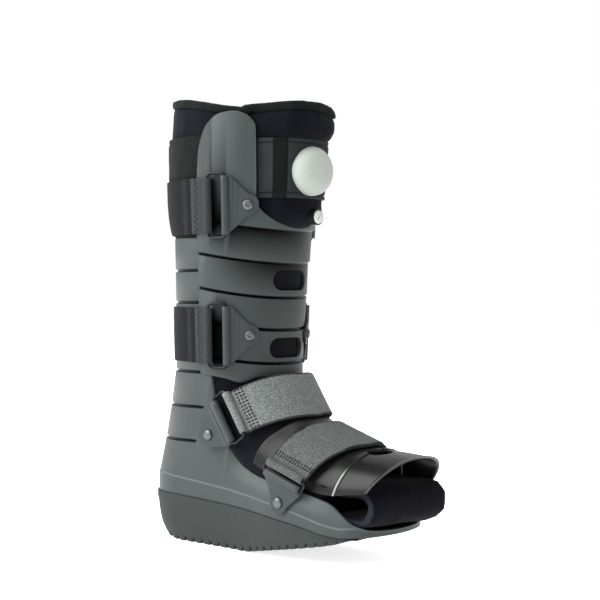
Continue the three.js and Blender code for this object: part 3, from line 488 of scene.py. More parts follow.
def tube(name: str, path: Sequence[Vector], radius: float, closed: bool, sides: int = 12
         ) -> bpy.types.Object:
    """Round wire along a path of points."""
    count = len(path)
    loops = []
    normal = (path[1] - path[0]).cross(path[2] - path[1])
    up = normal.normalized() if normal.length > 1e-6 else Vector((0, 0, 1))
    for step, here in enumerate(path):
        before = path[(step - 1) % count] if closed or step else here
        after = path[(step + 1) % count] if closed or step < count - 1 else here
        along = (after - before).normalized()
        across = along.cross(up).normalized()
        top = across.cross(along).normalized()
        loops.append([here + radius * (math.cos(a) * across + math.sin(a) * top)
                      for a in (math.tau * side / sides for side in range(sides))])
    return Sheet(name, [], closed=closed).loft(loops)


def joined(name: str, parts: Sequence[bpy.types.Object]) -> bpy.types.Object:
    """One object made of several, which are removed."""
    work = bmesh.new()
    for part in parts:
        work.from_mesh(part.data)
    mesh = bpy.data.meshes.new(name)
    work.to_mesh(mesh)
    work.free()
    for part in parts:
        bpy.data.objects.remove(part)
    made = placed(name, mesh)
    made.data.shade_smooth()
    return made


def rim_droop(spot: Vector) -> float:
    """How far the soft rim sinks towards the front of the leg, in millimetres."""
    return RIM_SINK * ramp(spot.x, *RIM_AHEAD) * ramp(spot.z, *RIM_LEVELS)


def inflate(made: bpy.types.Object, cap: float) -> None:
    """Swells a padded piece with a short cloth simulation.

    Args:
        made: the piece, remeshed to even faces.
        cap: the farthest that a point may move, in millimetres.
    """
    before = [vertex.co.copy() for vertex in made.data.vertices]
    cloth = made.modifiers.new("padding", "CLOTH")
    cloth.settings.use_pressure = True
    cloth.settings.uniform_pressure_force = PRESSURE
    cloth.settings.effector_weights.gravity = 0
    cloth.settings.tension_stiffness = cloth.settings.compression_stiffness = STIFFNESS
    cloth.point_cache.frame_start, cloth.point_cache.frame_end = 1, LAST_FRAME
    scene = bpy.context.scene
    for frame in range(1, LAST_FRAME + 1):
        scene.frame_set(frame)
    settle(made)
    scene.frame_set(1)
    for vertex, start in zip(made.data.vertices, before):
        move = vertex.co - start
        if move.length > cap * METRE:
            vertex.co = start + move.normalized() * cap * METRE


def softened(name: str, node: str, voxel: float, rounds: int, swell: float, grain: float,
             puff: float, sim: float = 0.0) -> bpy.types.Object:
    """Padded piece worked from the place of a node.

    Args:
        name: name of the piece.
        node: node of the frame that gives its place.
        voxel: size of its mesh, in millimetres.
        rounds: how often it is smoothed.
        swell: how far the padding's unevenness moves the surface, in millimetres.
        grain: size of that unevenness, in millimetres.
        puff: how far the whole surface is moved out, in millimetres.
        sim: how far a cloth simulation may swell the piece, or 0 for none.

    Returns:
        The new object.
    """
    made = placed(name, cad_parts[node].data.copy())
    made.data.materials.clear()
    coarse = made.modifiers.new("coarse", "REMESH")
    coarse.mode = "VOXEL"
    coarse.voxel_size = voxel * METRE
    soft = made.modifiers.new("soft", "SMOOTH")
    soft.factor = 0.5
    soft.iterations = rounds
    settle(made)
    if sim:
        inflate(made, sim)
    if sim:
        finer = made.modifiers.new("finer", "SUBSURF")
        finer.levels = finer.render_levels = 1
        settle(made)
    size = grain * METRE
    normals = [normal.vector.copy() for normal in made.data.vertex_normals]
    for vertex, normal in zip(made.data.vertices, normals):
        droop = rim_droop(vertex.co / METRE) if node.startswith("liner") else 0.0
        lump = noise.noise(vertex.co / size) + 0.4 * noise.noise(vertex.co * 2.3 / size)
        vertex.co += normal * (lump * swell + puff) * METRE - Vector((0, 0, droop * METRE))
    made.data.shade_smooth()
    return made


# Finishes


class Flow:
    """A value on its way through a material's nodes, worked on with plain operators."""

    def __init__(self, paint: "Paint", socket: bpy.types.NodeSocket) -> None:
        """Keeps the material and the socket that gives the value."""
        self.paint = paint
        self.socket = socket

    def _with(self, operation: str, *values: object) -> "Flow":
        """Result of a Math node on some values."""
        return self.paint.node("ShaderNodeMath", {"operation": operation}, dict(enumerate(values)))

    def __add__(self, other: object) -> "Flow":
        """Sum."""
        return self._with("ADD", self, other)

    def __sub__(self, other: object) -> "Flow":
        """Difference."""
        return self._with("SUBTRACT", self, other)

    def __mul__(self, other: object) -> "Flow":
        """Product."""
        return self._with("MULTIPLY", self, other)

    def __truediv__(self, other: object) -> "Flow":
        """Quotient."""
        return self._with("DIVIDE", self, other)

    def __rsub__(self, other: object) -> "Flow":
        """Difference from a number."""
        return self._with("SUBTRACT", other, self)

    def sine(self) -> "Flow":
        """Sine of an angle in radians."""
        return self._with("SINE", self)

    def size(self) -> "Flow":
        """Value without its sign."""
        return self._with("ABSOLUTE", self)

    def repeat(self, pitch: float) -> "Flow":
        """Distance from the nearest of marks set a pitch apart."""
        return self._with("PINGPONG", self, pitch / 2)

    def most(self, other: object) -> "Flow":
        """Larger of two values."""
        return self._with("MAXIMUM", self, other)

    def step(self, low: float, high: float) -> "Flow":
        """Smooth step from 0 at low to 1 at high."""
        return self.paint.node("ShaderNodeMapRange", {"interpolation_type": "SMOOTHSTEP"},
                               {"Value": self, "From Min": low, "From Max": high})


def tone(red: float, green: float, blue: float) -> tuple[float, float, float, float]:
    """Linear colour of a screen colour given from 0 to 255."""

    def linear(value: float) -> float:
        share = value / 255
        return share / 12.92 if share < 0.04045 else ((share + 0.055) / 1.055) ** 2.4

    return (linear(red), linear(green), linear(blue), 1.0)


def toned(colour: Colour, share: float) -> tuple[float, float, float, float]:
    """Linear colour of a screen colour that is made darker or lighter by a share."""
    return tone(*(value * share for value in colour))


class Paint:
    """A material under construction, with its shader and its places."""

    def __init__(self, name: str, **constants: float) -> None:
        """Starts a material and sets the constants on its shader's own sockets."""
        self.material = bpy.data.materials.new(name)
        self.material.use_nodes = True
        self.tree = self.material.node_tree
        self.shader = next(node for node in self.tree.nodes if node.type == "BSDF_PRINCIPLED")
        for key, value in constants.items():
            self.shader.inputs[key.replace("_", " ").title().replace("Ior", "IOR")].default_value = value

    def node(self, kind: str, settings: dict, sockets: dict, output: object = 0) -> Flow:
        """Adds a node.

        Args:
            kind: the node's type.
            settings: its settings, set first.
            sockets: values or flows of its sockets, by name or number.
            output: name or number of the output that is used.

        Returns:
            The flow from that output.
        """
        made = self.tree.nodes.new(kind)
        for key, value in settings.items():
            setattr(made, key, value)
        for key, value in sockets.items():
            if isinstance(value, Flow):
                self.tree.links.new(value.socket, made.inputs[key])
            else:
                made.inputs[key].default_value = value
        return Flow(self, made.outputs[output])

    def place(self) -> Flow:
        """Place on the boot, in metres."""
        return self.node("ShaderNodeTexCoord", {}, {}, "Object")

    def parts(self, vector: Flow) -> tuple[Flow, Flow, Flow]:
        """The three numbers of a vector."""
        made = self.tree.nodes.new("ShaderNodeSeparateXYZ")
        self.tree.links.new(vector.socket, made.inputs[0])
        return tuple(Flow(self, made.outputs[index]) for index in range(3))

    def flat(self) -> tuple[Flow, Flow]:
        """Place on the flat cloth, in millimetres along and across; on the shells and the toe cover, the shares
        of painted shade and painted highlight instead.
        """
        along, across, _ = self.parts(self.node("ShaderNodeUVMap", {"uv_map": "flat"}, {}))
        return along, across

    def noise(self, scale: float, detail: float = 2.0, stretch: Colour = (1, 1, 1)) -> Flow:
        """Noise of a scale per metre, which may be stretched."""
        spot = self.node("ShaderNodeMapping", {}, {"Vector": self.place(), "Scale": stretch})
        return self.node("ShaderNodeTexNoise", {}, {"Vector": spot, "Scale": scale, "Detail": detail}, 0)

    def blend(self, share: object, first: object, second: object) -> Flow:
        """Colour between two others."""
        return self.node("ShaderNodeMix", {"data_type": "RGBA"}, {0: share, 6: first, 7: second}, 2)

    def finish(self, colour: object, roughness: object, *bumps: tuple[Flow, float, float]
               ) -> bpy.types.Material:
        """Links the colour, the roughness and the bumps, each with its strength and height in metres."""
        for key, value in (("Base Color", colour), ("Roughness", roughness)):
            if isinstance(value, Flow):
                self.tree.links.new(value.socket, self.shader.inputs[key])
            else:
                self.shader.inputs[key].default_value = value
        normal = None
        for height, strength, distance in bumps:
            sockets = {"Height": height, "Strength": strength, "Distance": distance}
            if normal:
                sockets["Normal"] = normal
            normal = self.node("ShaderNodeBump", {}, sockets)
        if normal:
            self.tree.links.new(normal.socket, self.shader.inputs["Normal"])
        return self.material


NAPPED = {"specular_ior_level": 0.08, "sheen_weight": 0.03, "sheen_roughness": 0.45}


@dataclass(frozen=True)
class Plastic:
    """Moulded plastic or rubber with a fine grain, faint clouds and scuffed patches, and, where switched on,
    painted shade and painted highlights from its UVs.
    """

    name: str
    colour: Colour
    roughness: float = 0.5
    grain: float = 0.00012
    coat: float = 0.0
    painted_light: bool = False
    painted_highlight_gain: float = 1.6

    def material(self) -> bpy.types.Material:
        """Builds the material."""
        paint = Paint(self.name, specular_ior_level=0.12, coat_weight=self.coat, coat_roughness=0.25)
        clouds = paint.noise(22, 4)
        fine = paint.noise(1500, 2)
        specks = paint.noise(420, 3)
        mixed = paint.blend(clouds * 0.75 + specks * 0.25, toned(self.colour, 0.86), toned(self.colour, 1.1))
        # Painted light: the first UV share paints shade into the grooves and under the rings, and the second
        # paints a highlight along lit lines.
        if self.painted_light:
            depth, line = paint.flat()
            mixed = paint.blend(line, mixed, toned(self.colour, self.painted_highlight_gain))
            mixed = paint.blend(depth, mixed, toned(self.colour, 0.08))
            # The painted shade is also made metallic, so that its reflection darkens with it.
            paint.tree.links.new(depth.socket, paint.shader.inputs["Metallic"])
        rough = clouds * 0.16 + (self.roughness - 0.08)
        return paint.finish(mixed, rough, (clouds, 0.25, 0.0012), (specks, 0.25, self.grain * 1.5),
                            (fine, 0.5, self.grain))


@dataclass(frozen=True)
class Metal:
    """Dark plated wire or a dull rivet, with fine scratches."""

    name: str
    colour: Colour
    roughness: float = 0.3

    def material(self) -> bpy.types.Material:
        """Builds the material."""
        paint = Paint(self.name, metallic=1.0)
        clouds = paint.noise(160, 4)
        scratches = paint.noise(900, 2, (1, 1, 0.08))
        mixed = paint.blend(clouds, toned(self.colour, 0.7), tone(*self.colour))
        return paint.finish(mixed, clouds * 0.2 + self.roughness, (scratches, 0.15, 0.00008))


@dataclass(frozen=True)
class Knit:
    """Soft navy-black cloth of the padding, with a fine stitch and a nap."""

    name: str
    colour: Colour
    light: Colour
    cut_edge: Optional[float] = None

    def material(self) -> bpy.types.Material:
        """Builds the material."""
        paint = Paint(self.name, specular_ior_level=0.08, sheen_weight=0.02, sheen_roughness=0.4)
        nap = paint.noise(900, 3)
        clouds = paint.noise(34, 4)
        fine = paint.noise(2600, 1)
        mixed = paint.blend(clouds * 0.5 + nap * 0.5, tone(*self.colour), tone(*self.light))
        if self.cut_edge:
            _, side, _ = paint.parts(paint.place())
            mixed = paint.blend(side.step(self.cut_edge, self.cut_edge + 0.0012), tone(24, 27, 35), mixed)
        return paint.finish(mixed, 0.92, (clouds, 0.3, 0.002), (nap, 0.6, 0.0005), (fine, 0.5, 0.00025))


@dataclass(frozen=True)
class Pile:
    """Brushed loop pile with tufts, on a strap whose ends are woven and sewn."""

    name: str
    colour: Colour
    light: Colour
    woven: Optional[Colour] = None
    woven_length: float = 0.0
    end: float = 0.0

    def material(self) -> bpy.types.Material:
        """Builds the material."""
        paint = Paint(self.name, **NAPPED)
        tufts = paint.noise(620, 4)
        clouds = paint.noise(70, 4)
        loops = paint.noise(1800, 2)
        mixed = paint.blend(tufts * 0.7 + clouds * 0.3, tone(*self.colour), tone(*self.light))
        height = tufts
        if self.woven:
            along, across = paint.flat()
            inward = self.end - along.size()
            band = 1 - inward.step(self.woven_length - 1.0, self.woven_length + 1.0)
            ribs = (along * 2.2).sine() * (across * 3.4).sine()
            zigzag = (inward - self.woven_length + 4.5 + (across.repeat(5.0) - 1.25) * 1.2).size()
            thread = (1 - zigzag.step(0.25, 0.7)) * band
            cloth = paint.blend(ribs * 0.5 + 0.5, toned(self.woven, 0.82), tone(*self.woven))
            stitched = paint.blend(thread, cloth, tone(20, 22, 23))
            mixed = paint.blend(band, mixed, stitched)
            height = tufts * (1 - band) + (ribs * 0.25 - thread * 0.6) * band
        return paint.finish(mixed, 0.95, (clouds, 0.2, 0.0015), (height, 0.8, 0.0011), (loops, 0.5, 0.0003))


@dataclass(frozen=True)
class Webbing:
    """Woven strap with fine ribs, dark sewn columns at its ends, and darker along both edges."""

    name: str
    colour: Colour
    half_length: float
    half_width: float
    sewn: tuple[float, ...]

    def material(self) -> bpy.types.Material:
        """Builds the material."""
        paint = Paint(self.name, specular_ior_level=0.1, sheen_weight=0.03, sheen_roughness=0.45)
        along, across = paint.flat()
        warp = (across * 3.6).sine()
        weft = (along * 3.1).sine()
        weave = warp * weft * 0.5 + 0.5
        slubs = paint.noise(260, 4)
        fuzz = paint.noise(1050, 2)
        inward = self.half_length - along.size()
        holes = None
        for column in self.sewn:
            dots = ((inward - column).size() / 1.3).most(across.repeat(3.6) / 1.1)
            spot = 1 - dots.step(0.55, 1.1)
            holes = spot if holes is None else holes.most(spot)
        # Darker along both edges of the strap.
        rim = across.size().step(self.half_width - 1.6, self.half_width - 0.8)
        base = paint.blend(weave * 0.2 + fuzz.step(0.38, 0.62) * 0.6 + slubs * 0.2,
                           toned(self.colour, 0.5), toned(self.colour, 1.3))
        marked = paint.blend(holes.most(rim * 0.8), base, tone(15, 16, 17))
        height = weave * 0.7 + fuzz * 0.3 - holes
        return paint.finish(marked, 0.88, (slubs, 0.25, 0.0006), (height, 0.75, 0.0006))


SHELL_TONE: Colour = (47, 52, 51)
NAVY: Colour = (1, 1, 5)
NAVY_LIGHT: Colour = (7, 8, 16)


@dataclass
class Wardrobe:
    """All finishes of the boot, each built once."""

    # The shell gets painted shade in its grooves and under the calf rings, and painted highlights along its
    # parting line and tub edge.
    shell: Plastic = Plastic("shell", SHELL_TONE, 0.48, painted_light=True)
    sole: Plastic = Plastic("sole", (38, 42, 41), 0.75, 0.0002)
    tab: Plastic = Plastic("tab", (43, 47, 47), 0.4)
    # The cover gets a painted highlight on its rib and front rim, eight times as light as its colour.
    cover: Plastic = Plastic("cover", (15, 16, 15), 0.3, 0.00008, 0.0, True, 8.0)
    bulb: Plastic = Plastic("bulb", (136, 142, 136), 0.7, 0.0002)
    valve: Plastic = Plastic("valve", (22, 23, 25), 0.35)
    cap: Plastic = Plastic("cap", (170, 172, 170), 0.4)
    wire: Metal = Metal("ring_wire", (38, 40, 41), 0.16)
    rivet: Metal = Metal("rivet", (92, 96, 95), 0.3)
    liner: Knit = Knit("liner_cloth", NAVY, NAVY_LIGHT)
    wrap: Knit = Knit("wrap_cloth", NAVY, NAVY_LIGHT, -0.0445)
    binding: Knit = Knit("binding", (4, 5, 5), (16, 17, 17))
    made: dict = field(default_factory=dict)

    def get(self, finish: object) -> bpy.types.Material:
        """The material of a finish, built the first time it is asked for."""
        key = finish.name
        if key not in self.made:
            self.made[key] = finish.material()
        return self.made[key]


@dataclass
class Dresser:
    """Puts finished pieces on the frame."""

    wardrobe: Wardrobe = field(default_factory=Wardrobe)

    def dress(self, piece: bpy.types.Object, slot: str, finish: object, *nodes: str) -> bpy.types.Object:
        """Gives a piece its finish and its body, and hides the nodes that it stands for.

        Args:
            piece: the finished object.
            slot: the record's material slot; not used.
            finish: the finish that it gets.
            nodes: nodes that it replaces.

        Returns:
            The same object.
        """
        piece.data.materials.clear()
        piece.data.materials.append(self.wardrobe.get(finish))
        if nodes:
            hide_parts(*nodes)
        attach(piece, BODY)
        LOG.info("%s: %d points", piece.name, len(piece.data.vertices))
        return piece


# Sub-assemblies


def grooved_rows(low: float, high: float, marks: Sequence[float], fill: int) -> list[float]:
    """Rows between two levels, with nine round each mark.

    Args:
        low: the lowest row.
        high: the top, which the last row stops 0.01 mm short of.
        marks: levels of the grooves, from the lowest up.
        fill: steps below the first mark's rows, and between the first two rows of every mark.

    Returns:
        The rows. Between one mark's rows and the next, and above the last, there are none.
    """
    offsets = (-1.9, -1.3, -0.8, -0.4, 0.0, 0.4, 0.8, 1.3, 1.9)
    stops = [low + 0.01, *[clamp(mark + offset, low + 0.01, high - 0.01)
                           for mark in marks for offset in offsets], high - 0.01]
    rows = [low]
    for number, (start, end) in enumerate(zip(stops, stops[1:])):
        steps = fill if number == 0 or number % len(offsets) == 1 else 1
        rows += [mix(start, end, step / steps) for step in range(1, steps + 1)]
    return rows


@dataclass
class Shells:
    """Rear shell with its foot tub, front shell with its two tongues, and the outsole."""

    dresser: Dresser
    lug_pitch: float = 11.3
    lug_gap: float = 3.6
    lug_depth: float = 4.0
    sole_pride: float = 1.2

    def build(self) -> None:
        """Builds and dresses the three."""
        kit = self.dresser.wardrobe
        self.dresser.dress(self.rear(), "shell", kit.shell, "rear_shell")
        self.dresser.dress(self.front(), "shell", kit.shell, "front_shell")
        self.dresser.dress(self.sole(), "sole", kit.sole, "outsole")

    @staticmethod
    @cache
    def tub_top(place: float) -> float:
        """Level of the tub's upper edge in a column."""
        level = 150.0
        for _ in range(12):
            along = plan_point(place, level, 0).x
            edge = SHELL_TOP if along < 5 else line_level(TUB_EDGE, along)
            level = mix(level, edge, 0.6)
        return SHELL_TOP if abs(place) <= 0.352 else min(level, 0.96 * ANKLE)

    def rear(self) -> bpy.types.Object:
        """Rear shell and foot tub, one wall with grooves round the back and a moulded line."""
        half = [*spread(0, 0.352, 46), *spread(0.3525, 0.5, 46), *spread(0.505, 0.85, 60)[1:],
                *spread(0.855, 1.0, 24)]
        places = [-place for place in reversed(half[1:])] + half[:-1]

        def parting(along: float) -> float:
            return line_level(SEAM, along) + mix(20, 9, clamp((along + 90) / 255))

        def rows(place: float) -> list[float]:
            bottom = line_level(SEAM, plan_point(place, 40, 0).x) + GAP
            line = parting(plan_point(place, bottom + 12, 0).x)
            return grooved_rows(bottom, self.tub_top(place), (line, *sorted(REAR_GROOVES)), 7)

        # Groove share: it sinks the grooves and also paints shade into them.
        def crease(place: float, level: float) -> float:
            groove = max(notch(level - mark, GROOVE_WIDTH) for mark in REAR_GROOVES)
            return groove * (1 - ramp(abs(place), 0.375, 0.39))

        # Painted highlight: a light line along the parting line and along the tub's top edge.
        def lit(place: float, level: float) -> float:
            seam = notch(level - parting(plan_point(place, level, 0).x), 2.2)
            top = self.tub_top(place)
            edge = ramp(level, top - 2.2, top - 0.8) * ramp(abs(place), 0.352, 0.36)
            return max(0.5 * seam, 0.4 * edge)

        def outer(place: float, level: float) -> Vector:
            depth = GROOVE_DEPTH * crease(place, level)
            line = parting(plan_point(place, level, 0).x)
            ledge = 0.55 * (1 - ramp(level, line - 0.6, line + 0.6))
            return plan_point(place, level, ledge - depth)

        def inner(place: float, level: float) -> Vector:
            return plan_point(place, level, -REAR_WALL)

        # The UVs carry the painted shade in the grooves and the painted highlight of lit().
        def flat(place: float, level: float) -> Vector:
            return Vector((crease(place, level), lit(place, level), 0))

        made = Sheet("rear_shell_skin", places, closed=True).wall(rows, outer, inner, 0.7, flat)
        return joined("rear_shell_skin", [made, self.tub_floor()])

    @staticmethod
    def tub_floor() -> bpy.types.Object:
        """Floor of the tub, from the heel to the tip of the toe."""
        across = spread(-1, 1, 12)

        def point(place: float, across: float, lift: float) -> Vector:
            edge = plan_point(place, 44, -REAR_WALL + 0.4)
            level = line_level(SEAM, edge.x) + GAP + lift
            return Vector((edge.x, edge.y * across, level))

        loops = [[*(point(place, share, REAR_WALL) for share in across),
                  *(point(place, share, 0.1) for share in reversed(across))]
                 for place in spread(0.02, 0.98, 70)]
        return Sheet("tub_floor", []).loft(loops)

    def front(self) -> bpy.types.Object:
        """Front shell, grooved across and cut round at the top, with two long windows."""
        half = [*spread(0, 36, 26), *spread(37, 42.2, 12), 42.5, *spread(42.8, 90, 46)]
        turns = [-turn for turn in reversed(half[1:])] + half

        def top(turn: float) -> float:
            side = abs(turn)
            across = shell_point(side, CUT_BOTTOM + CUT_DEPTH / 2, 0).y
            share = min(across / CUT_HALF, 1)
            round_edge = CUT_BOTTOM + CUT_DEPTH * (1 - math.sqrt(1 - share * share))
            rise = along_table(TONGUE, side)
            tongue = mix(CUT_BOTTOM + CUT_DEPTH, TONGUE_TOP, rise)
            return mix(round_edge, tongue, ramp(side, 41.9, 42.6))

        def rows(turn: float) -> list[float]:
            hem = along_table(HEM, abs(turn)) * ANKLE
            ahead = max(shell_point(turn, 250, 0).x, 0)
            marks = [level - GROOVE_FALL * ahead for level, _ in FRONT_GROOVES]
            return grooved_rows(hem, top(turn), marks, 9)

        def crease(turn: float, level: float) -> float:
            mark = level + GROOVE_FALL * max(shell_point(turn, level, FRONT_WALL).x, 0)
            return max(notch(mark - place, GROOVE_WIDTH) * (1 - ramp(abs(turn), reach - 4, reach))
                       for place, reach in FRONT_GROOVES)

        # Painted shade: in the grooves, and on the shell in the slot under each calf ring.
        def shade(turn: float, level: float) -> float:
            away = abs(turn)
            under = max((1 - ramp(abs(away - ring_turn), 6.0, 7.5)) * (1 - ramp(abs(level - middle), 27, 30))
                        for _, middle, ring_turn in CALF_STRAPS)
            return max(crease(turn, level), under)

        def outer(turn: float, level: float) -> Vector:
            lower = GROOVE_DEPTH * crease(turn, level) + 0.5 * ramp(abs(turn), 84, 90)
            return shell_point(turn, level, FRONT_WALL - lower)

        def inner(turn: float, level: float) -> Vector:
            return shell_point(turn, level, 0.0)

        # The UVs carry the painted shade of shade().
        made = Sheet("front_shell_skin", turns).wall(
            rows, outer, inner, 0.8, lambda turn, level: Vector((shade(turn, level), 0, 0)))
        for level in WINDOWS:
            cut(made, self.window(level))
        sharpen(made, 50)
        return made

    @staticmethod
    def window(level: float) -> bpy.types.Object:
        """Cutter of a long window with round ends."""
        width, height, shift = WINDOW
        radius = height / 2
        reach = width / 2 - radius
        outline = [(shift + side * (reach + radius * math.cos(math.radians(turn))),
                    level + side * radius * math.sin(math.radians(turn)))
                   for side in (1, -1) for turn in spread(-90, 90, 14)]
        return prism("window", outline, 0, CALF_DEPTH * 0.2, CALF_DEPTH)

    def tread_level(self, along: float) -> float:
        """Level of the tread at a place, with its grooves."""
        base = line_level(TREAD, along)
        place = along / self.lug_pitch
        away = abs(place - round(place - 0.5) - 0.5) * self.lug_pitch
        return base + self.lug_depth * (1 - ramp(away, self.lug_gap * 0.3, self.lug_gap * 0.62))

    def sole(self) -> bpy.types.Object:
        """Outsole: a moulded side with a rim, and a rockered tread with grooves across it."""
        half = [*spread(0, 0.35, 90), *spread(0.3512, 0.9, 300)]
        places = [-place for place in reversed(half[1:])] + half
        pride = self.sole_pride

        def loop(place: float) -> list[Vector]:
            along = plan_point(place, 12, pride).x
            seam = line_level(SEAM, min(along, 0.86 * REACH))
            bottom = min(self.tread_level(along), seam - 0.4)
            shares = (1, 0.985, 0.96, 0.9, 0.84, 0.8, 0.76, 0.6, 0.45, 0.3, 0.15, 0.05, 0)
            points = []
            for share in shares:
                level = mix(bottom, seam, share)
                rim = 0.8 * ramp(share, 0.77, 0.83) - 0.5 * ramp(share, 0.97, 1.0)
                points.append(plan_point(place, level, pride + rim - 0.5 * (1 - ramp(share, 0, 0.05))))
            return points

        loops = [loop(place) for place in places]
        size = len(loops[0])
        count = len(loops)
        points = [point * METRE for row in loops for point in row]
        faces = [(c * size + r, c * size + r + 1, (c + 1) * size + r + 1, (c + 1) * size + r)
                 for c in range(count - 1) for r in range(size - 1)]
        for column in range(count // 2):
            other = count - 1 - column
            for row in (0, size - 1):
                here, there = column * size + row, other * size + row
                step, back = (column + 1) * size + row, (other - 1) * size + row
                faces.append((here, step, back, there) if step != back else (here, step, there))
        last = (count - 1) * size
        faces += [(row, row + 1, last + row + 1, last + row) for row in range(size - 1)]
        made = mesh_object("outsole_skin", points, faces)
        tidy(made)
        sharpen(made, 42)
        return made


@dataclass
class Padding:
    """Liner, its rims, the front flap, the toe wrap and the band round the calf."""

    dresser: Dresser

    def build(self) -> None:
        """Builds and dresses the soft pieces."""
        kit = self.dresser.wardrobe
        soft = {
            "liner": (2.6, 12, 0.5, 22.0, 0.5), "front_flap": (4.0, 9, 0.9, 18.0, 1.6, 1.5),
            "toe_wrap": (4.0, 6, 0.8, 20.0, 0.8, 1.5),
        }
        for node, sizes in soft.items():
            finish = kit.wrap if node == "toe_wrap" else kit.liner
            piece = self.dresser.dress(softened(f"{node}_padding", node, *sizes), "liner_cloth", finish, node)
        for node in ("liner_rim", "flap_rim"):
            piece = softened(f"{node}_binding", node, 1.1, 6, 0.25, 9.0, 1.2)
            self.dresser.dress(piece, "binding", kit.binding, node)
        self.band()

    def band(self) -> None:
        """Padded band round the calf: pile at the back, a woven panel at the front."""
        turns = spread(-180, 180, 200)[:-1]

        def limits(turn: float) -> tuple[float, float]:
            away = abs(turn)
            low = mix(336, 300, ramp(away, 74, 80))
            high = mix(390.7, 395, ramp(away, 52, 76))
            return low, high

        def rows(turn: float) -> list[float]:
            return spread(*limits(turn), 34)

        def outer(turn: float, level: float) -> Vector:
            low, high = limits(turn)
            edge = min(level - low, high - level)
            pinch = 0.9 * math.exp(-((edge - 3.2) / 1.1) ** 2)
            spot = Vector((turn / 9, level / 14, 0))
            return padding_point(turn, level, GAP + BAND_WALL - pinch + 0.5 * noise.noise(spot))

        def inner(turn: float, level: float) -> Vector:
            return padding_point(turn, level, GAP)

        def flat(turn: float, level: float) -> Vector:
            return Vector((turn * 1.12, level, 0))

        made = Sheet("calf_band_padding", turns, closed=True).wall(rows, outer, inner, 0.8, flat)
        self.dresser.dress(made, "loop_pile", BandCloth("calf_band_cloth"), "calf_band")


@dataclass(frozen=True)
class BandCloth:
    """Cloth of the calf band: brushed pile at the back, hook strip and woven panel in front."""

    name: str

    def material(self) -> bpy.types.Material:
        """Builds the material."""
        paint = Paint(self.name, **NAPPED)
        along, up = paint.flat()
        tufts = paint.noise(560, 4)
        clouds = paint.noise(60, 4)
        fine = paint.noise(2000, 2)
        pile = paint.blend(tufts * 0.75 + clouds * 0.25, tone(1, 1, 1), tone(14, 15, 15))
        weave = (along * 2.6).sine() * (up * 2.6).sine() * 0.5 + 0.5
        panel = paint.blend(weave * 0.4 + clouds * 0.6, tone(16, 18, 19), tone(42, 45, 46))
        front = 1 - along.size().step(44, 46)
        strip = (1 - (along + 32.6).size().step(3.8, 4.5)) * front
        seam = 1 - (along + 28.4).size().step(0.3, 0.9)
        sewn = (1 - (up - 340).size().step(0.3, 0.8)).most(1 - (up - 387).size().step(0.3, 0.8))
        cloth = paint.blend(front, pile, panel)
        cloth = paint.blend(strip, cloth, pile)
        cloth = paint.blend((seam.most(sewn) * front) * 0.8, cloth, tone(8, 8, 10))
        fluffy = (1 - front).most(strip)
        height = tufts * fluffy + weave * 0.25 * (1 - fluffy) - seam.most(sewn) * front * 0.6
        return paint.finish(cloth, 0.93, (clouds, 0.25, 0.0015), (height, 0.8, 0.0011), (fine, 0.4, 0.0003))


@dataclass
class Pump:
    """Squeeze bulb and release valve."""

    dresser: Dresser
    radius: float = 23.5
    height: float = 16.5
    level: float = 361.0
    turn: float = -1.0
    valve_level: float = 318.0
    valve_turn: float = 9.0
    valve_reach: float = 6.0

    def build(self) -> None:
        """Builds and dresses both."""
        kit = self.dresser.wardrobe
        seat = padding_point(self.turn, self.level, GAP + BAND_WALL)
        dome = [(self.radius * math.cos(math.radians(a)) ** 0.8, self.height * math.sin(math.radians(a)))
                for a in spread(0, 89, 22)]
        profile = [(0, -9), (self.radius - 1.5, -9), (self.radius, -8), *dome, (0, self.height)]
        bulb = turned("pump_bulb_skin", profile, seat, Vector((1, 0, 0)), 64)
        self.dresser.dress(bulb, "bulb", kit.bulb, "pump_bulb")
        base = padding_point(self.valve_turn, self.valve_level, 0)
        top = self.valve_reach
        collar = [(0, -9), (7.8, -9), (7.8, top - 0.6), (7.2, top), (6.9, top), (6.7, top - 0.5),
                  (6.7, top - 2), (0, top - 2)]
        ring = turned("valve_ring_skin", collar, base, Vector((1, 0, 0)), 48)
        sharpen(ring, 40)
        self.dresser.dress(ring, "valve", kit.valve, "valve_ring")
        face = base + Vector((top - 1.7, 0, 0))
        disc = turned("valve_cap_skin", [(0, 0), (6.4, 0), (6.4, 1.9), (6.0, 2.4), (5.4, 2.6), (0, 2.6)],
                      face, Vector((1, 0, 0)), 48)
        cut(disc, self.mark(face))
        sharpen(disc, 35)
        self.dresser.dress(disc, "cap", kit.cap, "valve_cap")

    @staticmethod
    def mark(face: Vector) -> bpy.types.Object:
        """Cutter of the slot across the valve's cap."""
        cosine, sine = math.cos(math.radians(50)), math.sin(math.radians(50))
        outline = [(face.y + a * cosine - b * sine, face.z + a * sine + b * cosine)
                   for a, b in ((-3.6, -0.5), (3.6, -0.5), (3.6, 0.5), (-3.6, 0.5))]
        return prism("valve_mark", outline, 0, face.x + 2.0, face.x + 5.0)


